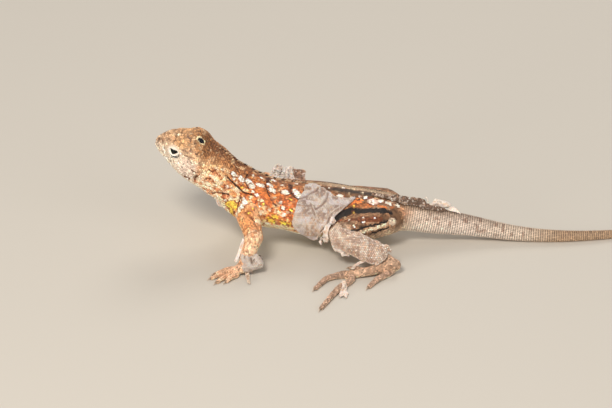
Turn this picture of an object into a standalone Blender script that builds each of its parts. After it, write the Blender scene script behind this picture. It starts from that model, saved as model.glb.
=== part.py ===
# A three-eyed lizard at life size, standing with its chest raised, part way through a skin moult.
# Built in millimetres in the animal's own frame and scaled to metres at the end.
# The animal faces -X, its left side is on -Y, and +Z is up. The floor is Z = 0.
import math
import random

import bmesh
import bpy
import numpy as np
from mathutils import Matrix, Vector

MM = 0.001
GAP = 0.3                   # clearance between nodes that touch
WELD = 0.001                # points closer than this are one
CUTTER = 200.0              # half the side of a box that cuts along a plane
SHEET = 0.55                # thickness of a shed sheet of skin
SEED = 11

# Head: where the tip of the snout is and how the head is turned, in degrees
SNOUT = (-48.0, 5.4, 34.8)
HEAD_PITCH = 17.0
HEAD_YAW = 13.0
HEAD_ROLL = 11.0

# Sections of the head: distance behind the snout, half width, top and underside from the head's line
HEAD_SECTIONS = (
    (0.0, 0.6, -1.4, -3.0),
    (0.5, 1.3, -0.6, -3.5),
    (1.8, 2.4, 1.3, -4.4),
    (4.0, 3.9, 3.9, -5.5),
    (6.5, 5.1, 5.4, -6.8),
    (9.0, 6.4, 6.0, -7.9),
    (12.0, 7.7, 6.5, -8.8),
    (15.0, 8.3, 6.1, -9.9),
    (18.0, 8.1, 4.3, -10.9),
)

# Sections behind the head: centre x, y, z, pitch, yaw, roll, half width, top, underside
BODY_SECTIONS = (
    (-28.9, 1.2, 26.2, 31.0, 9.0, 9.0, 7.8, 5.3, 9.7),
    (-26.7, 0.8, 23.2, 42.0, 6.0, 6.0, 7.5, 5.8, 8.7),
    (-23.9, 0.4, 20.4, 43.0, 3.0, 3.0, 7.6, 7.2, 8.3),
    (-20.8, 0.1, 18.0, 36.0, 1.0, 1.0, 8.4, 7.6, 8.5),
    (-17.0, 0.0, 16.0, 25.0, 0.0, 0.0, 9.5, 7.5, 8.6),
    (-12.0, 0.0, 14.2, 14.0, 0.0, 0.0, 10.1, 7.1, 8.0),
    (-6.8, 0.0, 13.1, 8.0, 0.0, 0.0, 10.7, 7.0, 7.4),
    (-1.5, 0.0, 12.2, 7.0, 0.0, 0.0, 11.3, 7.2, 8.0),
    (3.0, 0.0, 11.5, 6.0, 0.0, 0.0, 11.5, 7.6, 8.4),
    (9.3, 0.0, 10.9, 4.0, 0.0, 0.0, 10.9, 7.6, 8.0),
    (15.8, 0.0, 10.4, 3.0, 0.0, 0.0, 9.3, 7.1, 7.3),
    (22.3, 0.0, 10.0, 4.0, 0.0, 0.0, 7.8, 6.4, 6.4),
    (27.3, 0.0, 9.5, 8.0, 0.0, 0.0, 6.5, 5.8, 5.8),
    (31.9, 0.0, 8.8, 11.0, 0.0, 0.0, 5.3, 5.1, 5.1),
    (40.0, 0.0, 7.0, 11.0, 0.0, 0.0, 4.4, 4.3, 4.3),
    (46.5, -0.1, 5.9, 9.5, 1.0, 0.0, 3.9, 3.8, 3.8),
    (52.9, -0.2, 4.9, 9.0, 2.0, 0.0, 3.4, 3.3, 3.3),
    (59.4, -0.5, 3.8, 8.5, 3.0, 0.0, 2.95, 2.85, 2.85),
    (66.0, -0.9, 2.7, 7.0, 4.0, 0.0, 2.6, 2.5, 2.5),
    (73.0, -1.4, 2.1, 2.5, 3.0, 0.0, 2.25, 2.2, 2.2),
    (82.0, -1.6, 1.75, 2.0, -2.0, 0.0, 1.9, 1.85, 1.85),
    (95.0, -0.4, 1.4, 1.5, -9.0, 0.0, 1.5, 1.5, 1.5),
    (111.0, 2.9, 1.05, 1.0, -13.0, 0.0, 1.15, 1.15, 1.15),
    (127.0, 6.6, 0.8, 1.0, -11.0, 0.0, 0.9, 0.9, 0.9),
    (141.0, 8.6, 0.6, 1.0, -4.0, 0.0, 0.68, 0.68, 0.68),
    (152.5, 8.7, 0.38, 1.0, 3.0, 0.0, 0.42, 0.42, 0.42),
)
HEAD_BOX = (2.5, 2.5)       # how square a section is, above and below its middle
BODY_BOX = (1.85, 2.3)

# Where the trunk is parted, by the section in BODY_SECTIONS that it is nearest to
NECK_ENDS_AT = -20.8
TORSO_ENDS_AT = 29.0
TAIL_BASE_ENDS_AT = 59.4
TAIL_MIDDLE_ENDS_AT = 100.0

# Features of the head: distance behind the snout, to the left, and above the head's line
EYE = (7.7, 3.8, 1.7)
EYE_RADIUS = 1.6
LID_RADII = (2.9, 1.95, 2.45)
LID_OPENING = (1.5, 1.0)
THIRD_EYE = (13.9, 1.1, 5.35)
THIRD_EYE_RADIUS = 0.95
BROW = (8.8, 3.5, 3.9)
BROW_RADII = (3.1, 1.8, 1.1)
EAR = (16.8, 8.5, -3.6)
EAR_RADII = (1.1, 1.3, 1.75)
NOSTRIL = (1.7, 2.9, -0.7)
NOSTRIL_RADIUS = 0.42
MOUTH_CORNER = 13.0
MOUTH_DROP = (-2.4, -5.3)   # height of the mouth's line at the snout and at its corner
MOUTH_RADIUS = 0.3

# Crest of pointed scales from the nape to the tail
CREST_STEP = 1.55
CREST_HEIGHT = 0.85
CREST_FROM = -29.5
CREST_TO = 40.0

# Limbs of the left side: joints, and the radius at each with one half way between
ARM_LEFT = ((-19.0, -7.0, 14.6), (-16.7, -18.6, 11.0), (-20.0, -22.6, 2.5))
ARM_RIGHT = ((-18.6, 7.0, 14.6), (-13.0, 18.4, 10.6), (-14.6, 22.2, 2.5))
LEG_LEFT = ((25.6, -4.4, 9.8), (10.9, -15.2, 10.0), (28.3, -22.4, 2.9))
LEG_RIGHT = ((25.6, 4.4, 9.8), (9.4, 14.4, 7.6), (26.6, 18.8, 2.8))
UPPER_ARM_RADII = (4.3, 3.5, 2.7)
FOREARM_RADII = (2.7, 2.5, 1.75)
THIGH_RADII = (5.4, 4.6, 3.4)
SHIN_RADII = (3.4, 3.2, 1.9)

# Digits: where each leaves the palm, its middle and its tip, on the floor plan
HAND_LEFT = (
    ((-22.4, -21.9), (-24.4, -21.2), (-26.2, -21.3)),
    ((-23.4, -22.8), (-26.6, -23.0), (-29.2, -24.0)),
    ((-23.6, -23.6), (-27.4, -24.9), (-30.3, -26.6)),
    ((-23.2, -24.3), (-26.2, -26.6), (-28.6, -29.2)),
    ((-22.2, -24.7), (-24.0, -26.8), (-25.6, -28.8)),
)
HAND_RIGHT = (
    ((-16.4, 21.0), (-18.4, 19.6), (-20.6, 19.2)),
    ((-17.6, 21.8), (-20.8, 21.3), (-24.0, 21.2)),
    ((-18.0, 22.8), (-21.4, 23.2), (-24.8, 24.0)),
    ((-17.7, 23.6), (-20.4, 25.6), (-22.8, 28.2)),
    ((-16.6, 24.1), (-17.4, 27.0), (-17.6, 30.0)),
)
FOOT_LEFT = (
    ((18.6, -22.9), (16.4, -21.3), (14.2, -20.4)),
    ((15.6, -24.6), (11.8, -24.4), (7.8, -25.8)),
    ((14.6, -25.2), (7.4, -27.0), (2.9, -33.2)),
    ((14.2, -26.2), (10.0, -34.5), (4.7, -45.6)),
    ((26.4, -24.4), (23.2, -27.6), (20.0, -32.2)),
)
FOOT_RIGHT = (
    ((16.0, 18.6), (13.2, 17.2), (10.8, 16.6)),
    ((13.6, 20.2), (9.4, 19.2), (5.4, 18.8)),
    ((13.0, 20.9), (6.6, 21.0), (0.4, 21.8)),
    ((12.8, 21.8), (3.6, 24.0), (-5.6, 27.2)),
    ((21.2, 20.6), (18.2, 23.6), (15.6, 26.8)),
)
FINGER_RADIUS = 0.85
TOE_RADIUS = 0.95
CLAW_LENGTH = 1.7
PALM_RADIUS = 1.75
SOLE_RADIUS = 1.7

COLOURS = {
    "skin_head": (0.56, 0.45, 0.35),
    "skin_body": (0.60, 0.33, 0.18),
    "skin_limb": (0.62, 0.42, 0.28),
    "skin_tail": (0.62, 0.56, 0.52),
    "eye": (0.01, 0.01, 0.012),
    "third_eye": (0.03, 0.03, 0.05),
    "shed_skin": (0.62, 0.58, 0.56),
}


# Materials
def material(name, roughness=0.6):
    made = bpy.data.materials.get(name)
    if made is None:
        made = bpy.data.materials.new(name)
        made.use_nodes = True
        shader = made.node_tree.nodes["Principled BSDF"]
        shader.inputs["Base Color"].default_value = (*COLOURS[name], 1.0)
        shader.inputs["Roughness"].default_value = roughness
        shader.inputs["Metallic"].default_value = 0.0
        made.diffuse_color = (*COLOURS[name], 1.0)
    return made


# Frames and smooth curves
def axes(pitch, yaw, roll):
    """Forward, right and up of a section turned by three angles in degrees."""
    pitch, yaw, roll = (math.radians(a) for a in (pitch, yaw, roll))
    forward = Vector((
        -math.cos(pitch) * math.cos(yaw),
        math.cos(pitch) * math.sin(yaw),
        math.sin(pitch),
    ))
    level = Vector((math.sin(yaw), math.cos(yaw), 0.0))
    upright = level.cross(forward)
    right = math.cos(roll) * level + math.sin(roll) * upright
    up = math.cos(roll) * upright - math.sin(roll) * level
    return forward, right, up


def head_point(back, left, above):
    forward, right, up = axes(HEAD_PITCH, HEAD_YAW, HEAD_ROLL)
    return Vector(SNOUT) - back * forward - left * right + above * up


def smooth(knots, values, at):
    """Cubic through the rows of values, with slopes taken from the neighbours."""
    knots = np.asarray(knots, float)
    values = np.asarray(values, float)
    slopes = np.gradient(values, knots, axis=0)
    i = int(np.clip(np.searchsorted(knots, at) - 1, 0, len(knots) - 2))
    width = knots[i + 1] - knots[i]
    t = (at - knots[i]) / width
    found = (
        (2 * t**3 - 3 * t**2 + 1) * values[i]
        + (t**3 - 2 * t**2 + t) * width * slopes[i]
        + (3 * t**2 - 2 * t**3) * values[i + 1]
        + (t**3 - t**2) * width * slopes[i + 1]
    )
    return found.tolist()


def body_rows():
    """All sections as centre, angles, half width, top, underside and squareness."""
    rows = []
    for back, half, top, under in HEAD_SECTIONS:
        middle = 0.5 * (top + under)
        centre = head_point(back, 0.0, middle)
        rows.append((*centre, HEAD_PITCH, HEAD_YAW, HEAD_ROLL, half, top - middle, middle - under, *HEAD_BOX))
    for row in BODY_SECTIONS:
        rows.append((*row, *BODY_BOX))
    return rows


ROWS = body_rows()
KNOTS = [0.0]
for before, after in zip(ROWS, ROWS[1:]):
    KNOTS.append(KNOTS[-1] + math.dist(before[:3], after[:3]))
BODY_END = KNOTS[-1]


def along_at(x):
    """Distance along the body where its line passes x, behind the head."""
    low, high = KNOTS[len(HEAD_SECTIONS)], BODY_END
    for _ in range(40):
        middle = 0.5 * (low + high)
        if smooth(KNOTS, ROWS, middle)[0] < x:
            low = middle
        else:
            high = middle
    return low


def power(value, exponent):
    return math.copysign(abs(value) ** exponent, value)


def body_point(along, angle, grow=0.0):
    """Point on the skin at a distance along the body and an angle round it, from the right over the top."""
    row = smooth(KNOTS, ROWS, along)
    _, right, up = axes(*row[3:6])
    half, top, under = row[6] + grow, row[7] + grow, row[8] + grow
    above = math.sin(angle) >= 0.0
    square = 2.0 / (row[9] if above else row[10])
    side = half * power(math.cos(angle), square)
    high = (top if above else under) * power(math.sin(angle), square)
    return Vector(row[:3]) + side * right + high * up


# Meshes
def solid(name, points, faces):
    mesh = bpy.data.meshes.new(name)
    mesh.from_pydata([tuple(p) for p in points], [], faces)
    made = bpy.data.objects.new(name, mesh)
    bpy.context.collection.objects.link(made)
    return made


def skinned(name, rings):
    """Closed surface over a list of rings that all have the same number of points."""
    count = len(rings[0])
    points = [p for ring in rings for p in ring]
    faces = []
    for i in range(len(rings) - 1):
        for j in range(count):
            k = (j + 1) % count
            a, b = i * count, (i + 1) * count
            faces.append((a + j, b + j, b + k, a + k))
    for ring, first in ((rings[0], 0), (rings[-1], (len(rings) - 1) * count)):
        hub = len(points)
        points.append(sum((Vector(p) for p in ring), Vector()) / count)
        for j in range(count):
            k = (j + 1) % count
            face = (hub, first + j, first + k)
            faces.append(face if first == 0 else face[::-1])
    return solid(name, points, faces)


def facing_out(made):
    """Turns a closed mesh inside out where its volume is negative."""
    volume = 0.0
    for polygon in made.data.polygons:
        corners = [made.data.vertices[i].co for i in polygon.vertices]
        for b, c in zip(corners[1:], corners[2:]):
            volume += corners[0].dot(b.cross(c))
    if volume < 0.0:
        made.data.flip_normals()
    return made


def trunk(name, start, end, step, sides, grow=0.0):
    count = max(2, round((end - start) / step))
    rings = []
    for i in range(count + 1):
        along = start + (end - start) * i / count
        rings.append([body_point(along, 2 * math.pi * j / sides, grow) for j in range(sides)])
    return facing_out(skinned(name, rings))


def tube(name, path, radii, sides=10, step=1.5, flat=1.0, round_start=True, round_end=True, grow=0.0):
    """Round bar along a smooth path, with the radius read along it and domed ends."""
    path = [Vector(p) for p in path]
    knots = [0.0]
    for a, b in zip(path, path[1:]):
        knots.append(knots[-1] + (b - a).length)
    length = knots[-1]
    widths = np.interp(np.linspace(0, length, 41), np.linspace(0, length, len(radii)), radii)
    stops = list(np.linspace(0, length, max(3, round(length / step) + 1)))
    rings = []
    side = None
    spots = []
    for at in stops:
        centre = Vector(smooth(knots, path, at))
        ahead = Vector(smooth(knots, path, min(at + 0.05, length)))
        behind = Vector(smooth(knots, path, max(at - 0.05, 0.0)))
        radius = float(np.interp(at, np.linspace(0, length, 41), widths)) + grow
        spots.append((centre, (ahead - behind).normalized(), radius))
    dome = (0.45, 0.85)
    if round_start:
        centre, along, radius = spots[0]
        head = [(centre - along * radius * s, along, radius * math.sqrt(1 - s * s)) for s in dome[::-1]]
        spots = head + spots
    if round_end:
        centre, along, radius = spots[-1]
        spots += [(centre + along * radius * s, along, radius * math.sqrt(1 - s * s)) for s in dome]
    for centre, along, radius in spots:
        if side is None:
            side = along.cross(Vector((0, 0, 1)))
            if side.length < 0.1:
                side = Vector((0, 1, 0))
        side = (side - side.dot(along) * along).normalized()
        over = side.cross(along)
        ring = []
        for j in range(sides):
            angle = 2 * math.pi * (j + 0.5) / sides
            ring.append(centre + radius * (math.cos(angle) * side + flat * math.sin(angle) * over))
        rings.append(ring)
    return facing_out(skinned(name, rings))


def ball(name, centre, radii, frame=None, rings=8, sides=14):
    """Ellipsoid with its three radii along a frame's three directions."""
    frame = frame or (Vector((1, 0, 0)), Vector((0, 1, 0)), Vector((0, 0, 1)))
    lines = []
    for i in range(1, rings):
        tilt = math.pi * i / rings
        line = []
        for j in range(sides):
            turn = 2 * math.pi * j / sides
            local = (math.cos(turn) * math.sin(tilt), math.sin(turn) * math.sin(tilt), math.cos(tilt))
            line.append(Vector(centre) + sum((r * c * d for r, c, d in zip(radii, local, frame)), Vector()))
        lines.append(line)
    made = skinned(name, lines)
    poles = made.data.vertices
    poles[len(poles) - 2].co = Vector(centre) + radii[2] * frame[2]
    poles[len(poles) - 1].co = Vector(centre) - radii[2] * frame[2]
    return facing_out(made)


def slab(name, centre, normal, side, depth):
    """Box that fills the side of a plane that its normal points to."""
    normal = Vector(normal).normalized()
    across = normal.orthogonal().normalized()
    third = normal.cross(across)
    points = []
    for z in (0.0, depth):
        for x, y in ((-1, -1), (1, -1), (1, 1), (-1, 1)):
            points.append(Vector(centre) + side * (x * across + y * third) + z * normal)
    faces = [(3, 2, 1, 0), (4, 5, 6, 7), (0, 1, 5, 4), (1, 2, 6, 5), (2, 3, 7, 6), (3, 0, 4, 7)]
    return facing_out(solid(name, points, faces))


# Boolean work
def remove(objects):
    for old in objects:
        bpy.data.objects.remove(old)


def keep_largest(made):
    """Keeps the closed surface that holds the most volume, of those that share no edge."""
    mesh = made.data
    owner = list(range(len(mesh.polygons)))

    def root(i):
        while owner[i] != i:
            owner[i] = owner[owner[i]]
            i = owner[i]
        return i

    first = {}
    for polygon in mesh.polygons:
        for key in polygon.edge_keys:
            a, b = root(polygon.index), root(first.setdefault(key, polygon.index))
            if a != b:
                owner[a] = b
    volumes = {}
    for polygon in mesh.polygons:
        corners = [mesh.vertices[i].co for i in polygon.vertices]
        group = root(polygon.index)
        for b, c in zip(corners[1:], corners[2:]):
            volumes[group] = volumes.get(group, 0.0) + corners[0].dot(b.cross(c))
    if len(volumes) < 2:
        return made
    best = max(volumes, key=volumes.get)
    faces = [list(polygon.vertices) for polygon in mesh.polygons if root(polygon.index) == best]
    kept = sorted({i for face in faces for i in face})
    place = {old: new for new, old in enumerate(kept)}
    points = [mesh.vertices[i].co.copy() for i in kept]
    made.data = bpy.data.meshes.new(made.name)
    made.data.from_pydata(points, [], [[place[i] for i in face] for face in faces])
    return made


def tidy(mesh):
    """Merges points that a Boolean leaves on top of each other and returns whether the mesh is closed."""
    work = bmesh.new()
    work.from_mesh(mesh)
    bmesh.ops.remove_doubles(work, verts=work.verts, dist=WELD)
    bmesh.ops.dissolve_degenerate(work, edges=work.edges, dist=WELD)
    bmesh.ops.triangulate(work, faces=work.faces)
    closed = len(work.faces) > 3 and all(len(edge.link_faces) == 2 for edge in work.edges)
    work.to_mesh(mesh)
    work.free()
    return closed


def combine(made, others, operation):
    """One Boolean with a collection of closed solids, applied, with the solids then removed."""
    group = bpy.data.collections.new(made.name + "_tools")
    bpy.context.scene.collection.children.link(group)
    for other in others:
        group.objects.link(other)
    for solver in ("EXACT", "MANIFOLD"):
        change = made.modifiers.new("combine", "BOOLEAN")
        change.operation = operation
        change.solver = solver
        change.operand_type = "COLLECTION"
        change.collection = group
        bpy.context.view_layer.update()
        seen = made.evaluated_get(bpy.context.evaluated_depsgraph_get())
        result = bpy.data.meshes.new_from_object(seen)
        made.modifiers.remove(change)
        if tidy(result):
            break
    made.data = result
    remove(others)
    bpy.data.collections.remove(group)
    return keep_largest(made)


def fuse(made, others):
    return combine(made, others, "UNION")


def cut(made, others):
    return combine(made, others, "DIFFERENCE")


def cut_side(made, point, normal):
    """Removes what lies on the side of a plane that its normal points to."""
    return cut(made, [slab("side", point, normal, CUTTER, CUTTER)])


def on_floor(made):
    return cut_side(made, (0, 0, 0), (0, 0, -1))


# Head
def lid_ring(side):
    forward, right, up = axes(HEAD_PITCH, HEAD_YAW, HEAD_ROLL)
    centre = head_point(EYE[0], side * EYE[1], EYE[2])
    return ball("lid", centre, LID_RADII, (-forward, up, -side * right))


def eye_centre(side):
    return head_point(EYE[0], side * EYE[1], EYE[2])


def mouth_line(side):
    """Points just on the skin along one side of the closed mouth."""
    points = []
    steps = 12
    for i in range(steps + 1):
        share = i / steps
        back = 0.05 + (MOUTH_CORNER - 0.05) * share**1.3
        height = MOUTH_DROP[0] + (MOUTH_DROP[1] - MOUTH_DROP[0]) * back / MOUTH_CORNER
        row = smooth(KNOTS, ROWS, back_to_along(back))
        middle = Vector(row[:3])
        _, right, up = axes(*row[3:6])
        level = (head_point(back, 0, height) - middle).dot(up)
        reach = row[7] if level > 0 else row[8]
        square = row[9] if level > 0 else row[10]
        half = row[6] * max(0.0, 1 - (abs(level) / reach) ** square) ** (1 / square)
        points.append(middle - side * half * right + level * up)
    return points


def back_to_along(back):
    """Distance along the body's line for a distance behind the snout."""
    backs = [section[0] for section in HEAD_SECTIONS]
    return float(np.interp(back, backs, KNOTS[: len(backs)]))


def build_head():
    head = trunk("head", 0.0, KNOTS[len(HEAD_SECTIONS) - 1] - GAP / 2, 1.25, 26)
    forward, right, up = axes(HEAD_PITCH, HEAD_YAW, HEAD_ROLL)
    raised = []
    for side in (1, -1):
        raised.append(lid_ring(side))
        brow = head_point(BROW[0], side * BROW[1], BROW[2])
        raised.append(ball("brow", brow, BROW_RADII, (-forward, right, up), 6, 12))
    fuse(head, raised)
    hollow = []
    for side in (1, -1):
        hollow.append(ball("socket", eye_centre(side), (EYE_RADIUS + GAP,) * 3))
        opening = head_point(EYE[0], side * (EYE[1] + LID_RADII[2]), EYE[2])
        opening_radii = (*LID_OPENING, LID_RADII[2])
        hollow.append(ball("opening", opening, opening_radii, (-forward, up, right)))
        ear = head_point(EAR[0], side * EAR[1], EAR[2])
        hollow.append(ball("ear", ear, EAR_RADII, (-forward, right, up), 6, 10))
        nostril = head_point(NOSTRIL[0], side * NOSTRIL[1], NOSTRIL[2])
        hollow.append(ball("nostril", nostril, (NOSTRIL_RADIUS,) * 3, rings=5, sides=7))
    cut(head, hollow)
    line = mouth_line(1)[::-1] + mouth_line(-1)[1:]
    cut(head, [tube("mouth", line, (0.16, MOUTH_RADIUS, MOUTH_RADIUS, 0.16), 4, 1.6)])
    seat = head_point(*THIRD_EYE)
    seat_radius = THIRD_EYE_RADIUS + GAP
    seat_radii = (seat_radius * 1.25, seat_radius, 0.75)
    cut(head, [ball("seat", seat + 0.35 * up, seat_radii, (-forward, right, up))])
    return head


def build_eyes():
    made = []
    for name, side in (("eye_left", 1), ("eye_right", -1)):
        made.append(ball(name, eye_centre(side), (EYE_RADIUS,) * 3))
    return made


def build_third_eye():
    forward, right, up = axes(HEAD_PITCH, HEAD_YAW, HEAD_ROLL)
    seat = head_point(*THIRD_EYE)
    radii = (THIRD_EYE_RADIUS * 1.25, THIRD_EYE_RADIUS, 0.45)
    return ball("third_eye", seat + 0.35 * up, radii, (-forward, right, up), 6, 12)


# Trunk
def crest(start, end, chance):
    """Pointed scales along the middle of the back, leaning to the tail."""
    spines = []
    along = start + 0.9
    while along < end - 0.9:
        size = CREST_HEIGHT * chance.uniform(0.85, 1.15)
        root = body_point(along, math.pi / 2)
        behind = body_point(along + 0.5, math.pi / 2)
        back = (behind - root).normalized()
        row = smooth(KNOTS, ROWS, along)
        _, right, up = axes(*row[3:6])
        low = root - 0.7 * up
        base = []
        for j in range(5):
            angle = 2 * math.pi * j / 5
            base.append(low + 0.75 * math.cos(angle) * back + 0.42 * math.sin(angle) * right)
        tip = root + size * up + 0.65 * size * back
        middle = [0.55 * p + 0.45 * (root + 0.25 * size * up + 0.15 * back) + 0.1 * up for p in base]
        points = base + middle + [low, tip]
        faces = []
        for j in range(5):
            k = (j + 1) % 5
            faces.append((j, k, 5 + k, 5 + j))
            faces.append((5 + j, 5 + k, 11))
            faces.append((k, j, 10))
        spines.append(facing_out(solid("spine", points, faces)))
        along += CREST_STEP * chance.uniform(0.92, 1.08)
    return spines


def build_trunk():
    chance = random.Random(SEED)
    head_end = KNOTS[len(HEAD_SECTIONS) - 1]
    parted_at = (NECK_ENDS_AT, TORSO_ENDS_AT, TAIL_BASE_ENDS_AT, TAIL_MIDDLE_ENDS_AT)
    ends = [head_end, *(along_at(x) for x in parted_at)]
    spans = (
        ("neck", ends[0] + GAP / 2, ends[1] - GAP / 2, 1.8, 26),
        ("torso", ends[1] + GAP / 2, ends[2] - GAP / 2, 2.6, 26),
        ("tail_base", ends[2] + GAP / 2, ends[3] - GAP / 2, 3.0, 16),
        ("tail_middle", ends[3] + GAP / 2, ends[4] - GAP / 2, 3.4, 14),
        ("tail_tip", ends[4] + GAP / 2, BODY_END, 4.2, 12),
    )
    crest_start, crest_end = along_at(CREST_FROM), along_at(CREST_TO)
    made = {}
    for name, start, end, step, sides in spans:
        piece = trunk(name, start, end, step, sides)
        low, high = max(start, crest_start), min(end, crest_end)
        if high - low > 3.0:
            fuse(piece, crest(low, high, chance))
        made[name] = piece
    for name in ("tail_middle", "tail_tip"):
        on_floor(made[name])
    return made


# Limbs
def turn(a, b, c):
    """Normal of the plane that halves the bend at b."""
    before = (Vector(b) - Vector(a)).normalized()
    after = (Vector(c) - Vector(b)).normalized()
    return (before + after).normalized()


def bar(name, a, b, radii, grow=0.0, lift=0.0):
    a, b = Vector(a), Vector(b)
    middle = 0.5 * (a + b) + Vector((0, 0, lift))
    return tube(name, (a, middle, b), radii, 12, 2.6, grow=grow)


def digit(root, plan, radius, lift):
    """One finger or toe that leaves the palm, arches a little and ends in a claw on the floor."""
    (x0, y0), (x1, y1), (x2, y2) = plan
    base = Vector(root)
    rest = radius * 0.62
    path = (base, (x0, y0, lift), (x1, y1, rest + 0.45), (x2, y2, rest))
    widths = (radius * 1.1, radius * 1.1, radius * 0.9, radius * 0.72)
    flesh = tube("digit", path, widths, 6, 2.4, round_start=False)
    ahead = (Vector((x2, y2, 0)) - Vector((x1, y1, 0))).normalized()
    start = Vector((x2, y2, rest)) - 0.3 * ahead
    hook = (
        start,
        start + 0.55 * CLAW_LENGTH * ahead + Vector((0, 0, 0.12)),
        start + CLAW_LENGTH * ahead + Vector((0, 0, 0.02 - rest + 0.12)),
    )
    claw = tube("claw", hook, (0.42, 0.34, 0.1), 5, 0.85, round_start=False, round_end=False)
    return [flesh, claw]


def build_foot(name, joints, plans, digit_radius, palm_radius):
    upper, wrist = joints[1], Vector(joints[2])
    roots = [Vector((x, y, 0)) for (x, y), _, _ in plans]
    centre = sum(roots[1:4], Vector()) / 3 + Vector((0, 0, palm_radius * 0.72))
    knuckle = centre + 0.1 * (centre - wrist)
    path = (wrist, 0.5 * (wrist + knuckle) + Vector((0, 0, -0.1)), knuckle)
    palm = tube(name, path, (palm_radius * 1.02, palm_radius * 0.95, palm_radius * 0.8), 10, 2.4, flat=0.86)
    parts = []
    for plan in plans:
        (x0, y0), _, _ = plan
        away = Vector((x0, y0, 0)) - Vector((knuckle.x, knuckle.y, 0))
        span = Vector((*(wrist - knuckle).xy, 0))
        near = wrist if away.dot(span) > 0.55 * (wrist - knuckle).length_squared else knuckle
        root = near.lerp(Vector((x0, y0, near.z)), 0.25)
        root.z = min(near.z, palm_radius * 0.8)
        parts += digit(root, plan, digit_radius, digit_radius * 1.05)
    fuse(palm, parts)
    normal = turn(upper, wrist, knuckle)
    cut_side(palm, wrist + normal * GAP / 2, -normal)
    return palm, knuckle


def build_limb(names, joints, plans, upper_radii, lower_radii, digit_radius, palm_radius, core):
    root, bend, end = joints
    upper = bar(names[0], root, bend, upper_radii)
    cut(upper, [core])
    normal = turn(root, bend, end)
    cut_side(upper, Vector(bend) - normal * GAP / 2, normal)
    foot, knuckle = build_foot(names[2], joints, plans, digit_radius, palm_radius)
    lower = bar(names[1], bend, end, lower_radii)
    cut_side(lower, Vector(bend) + normal * GAP / 2, -normal)
    normal = turn(bend, end, knuckle)
    cut_side(lower, Vector(end) - normal * GAP / 2, normal)
    return [upper, lower, on_floor(foot)]


# Shed skin that stands off the body
def sheet(name, rows, thickness=SHEET):
    """Closed thin sheet over a grid of points, split the same way on both faces."""
    grid = [[Vector(p) for p in row] for row in rows]
    high, wide = len(grid), len(grid[0])
    points = []
    for side in (0.5, -0.5):
        for i in range(high):
            for j in range(wide):
                down = grid[min(i + 1, high - 1)][j] - grid[max(i - 1, 0)][j]
                across = grid[i][min(j + 1, wide - 1)] - grid[i][max(j - 1, 0)]
                points.append(grid[i][j] + side * thickness * down.cross(across).normalized())
    faces = []
    half = high * wide
    for i in range(high - 1):
        for j in range(wide - 1):
            a, b, c, d = i * wide + j, i * wide + j + 1, (i + 1) * wide + j + 1, (i + 1) * wide + j
            faces += [(a, b, c), (a, c, d), (half + c, half + b, half + a), (half + d, half + c, half + a)]
    rim = [(0, j) for j in range(wide)] + [(i, wide - 1) for i in range(1, high)]
    rim += [(high - 1, j) for j in range(wide - 2, -1, -1)] + [(i, 0) for i in range(high - 2, 0, -1)]
    for (i, j), (k, m) in zip(rim, rim[1:] + rim[:1]):
        a, b = i * wide + j, k * wide + m
        faces += [(a, half + a, half + b), (a, half + b, b)]
    return facing_out(solid(name, points, faces))


def back_flap(name, x_from, x_to, height, lean, curl):
    """Flap of old skin that stands up from the back, curling over at its free edge."""
    rows = []
    for i in range(6):
        rise = i / 5
        row = []
        for j in range(7):
            share = j / 6
            along = along_at(x_from + (x_to - x_from) * share)
            root = body_point(along, math.radians(78.0))
            crown = height * math.sin(math.pi * (0.12 + 0.76 * share)) ** 0.7
            wave = 0.35 * math.sin(5.0 * share + 3.0 * rise)
            shift = Vector((lean * rise, wave + curl * rise**2, crown * rise))
            row.append(root + shift + Vector((0, 0, -0.6 * (1 - rise))))
        rows.append(row)
    return sheet(name, rows)


def build_shed_skin(core):
    made = []
    flaps = back_flap("slough_back", -11.6, -5.4, 4.6, 0.3, 1.3)
    fuse(flaps, [back_flap("flap", -6.2, -1.2, 4.2, 1.6, -1.2)])
    cut(flaps, [core(GAP)])
    made.append(flaps)
    rows = []
    for i in range(7):
        share = i / 6
        row = []
        for j in range(8):
            along = along_at(39.5 + 10.5 * j / 7)
            angle = math.radians(52 + 78 * share)
            lift = 0.75 + 0.5 * math.sin(2.2 * j + 2.5 * share)
            lift += 1.1 * math.sin(math.pi * share) * math.sin(0.5 * j)
            row.append(body_point(along, angle, lift))
        rows.append(row)
    roll = sheet("slough_tail", rows)
    cut(roll, [core(GAP)])
    made.append(roll)
    return made


def build_wrist_bag():
    """Old skin gathered behind the left wrist as a small bag."""
    elbow, wrist = Vector(ARM_LEFT[1]), Vector(ARM_LEFT[2])
    middle = wrist + 0.22 * (elbow - wrist) + Vector((2.0, 0.2, 0.2))
    along = (elbow - wrist).normalized()
    across = along.cross(Vector((0, 1, 0))).normalized()
    bag = ball("slough_wrist_left", middle, (3.6, 2.0, 3.0), (across, along.cross(across), along), 8, 14)
    grown = [
        bar("near_forearm", ARM_LEFT[1], ARM_LEFT[2], FOREARM_RADII, GAP),
        tube("near_palm", (wrist, (-23.4, -23.4, 1.2)), (PALM_RADIUS * 1.02, PALM_RADIUS), 12, 1.6, grow=GAP),
    ]
    cut(bag, grown)
    return on_floor(bag)


def middle_of(pieces):
    """Middle of the ground that all the pieces together stand over."""
    corners = np.array([vertex.co[:] for piece in pieces for vertex in piece.data.vertices])
    low, high = corners.min(axis=0), corners.max(axis=0)
    return Vector((0.5 * (low[0] + high[0]), 0.5 * (low[1] + high[1]), 0.0))


def finish(made, origin, kind, roughness):
    """Sets a solid on the shared origin, scales it to metres and gives it its material."""
    made.data.transform(Matrix.Scale(MM, 4) @ Matrix.Translation(-origin))
    made.data.materials.clear()
    made.data.materials.append(material(kind, roughness))
    made.data.shade_smooth()
    made.data.set_sharp_from_angle(angle=math.radians(40))


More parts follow.
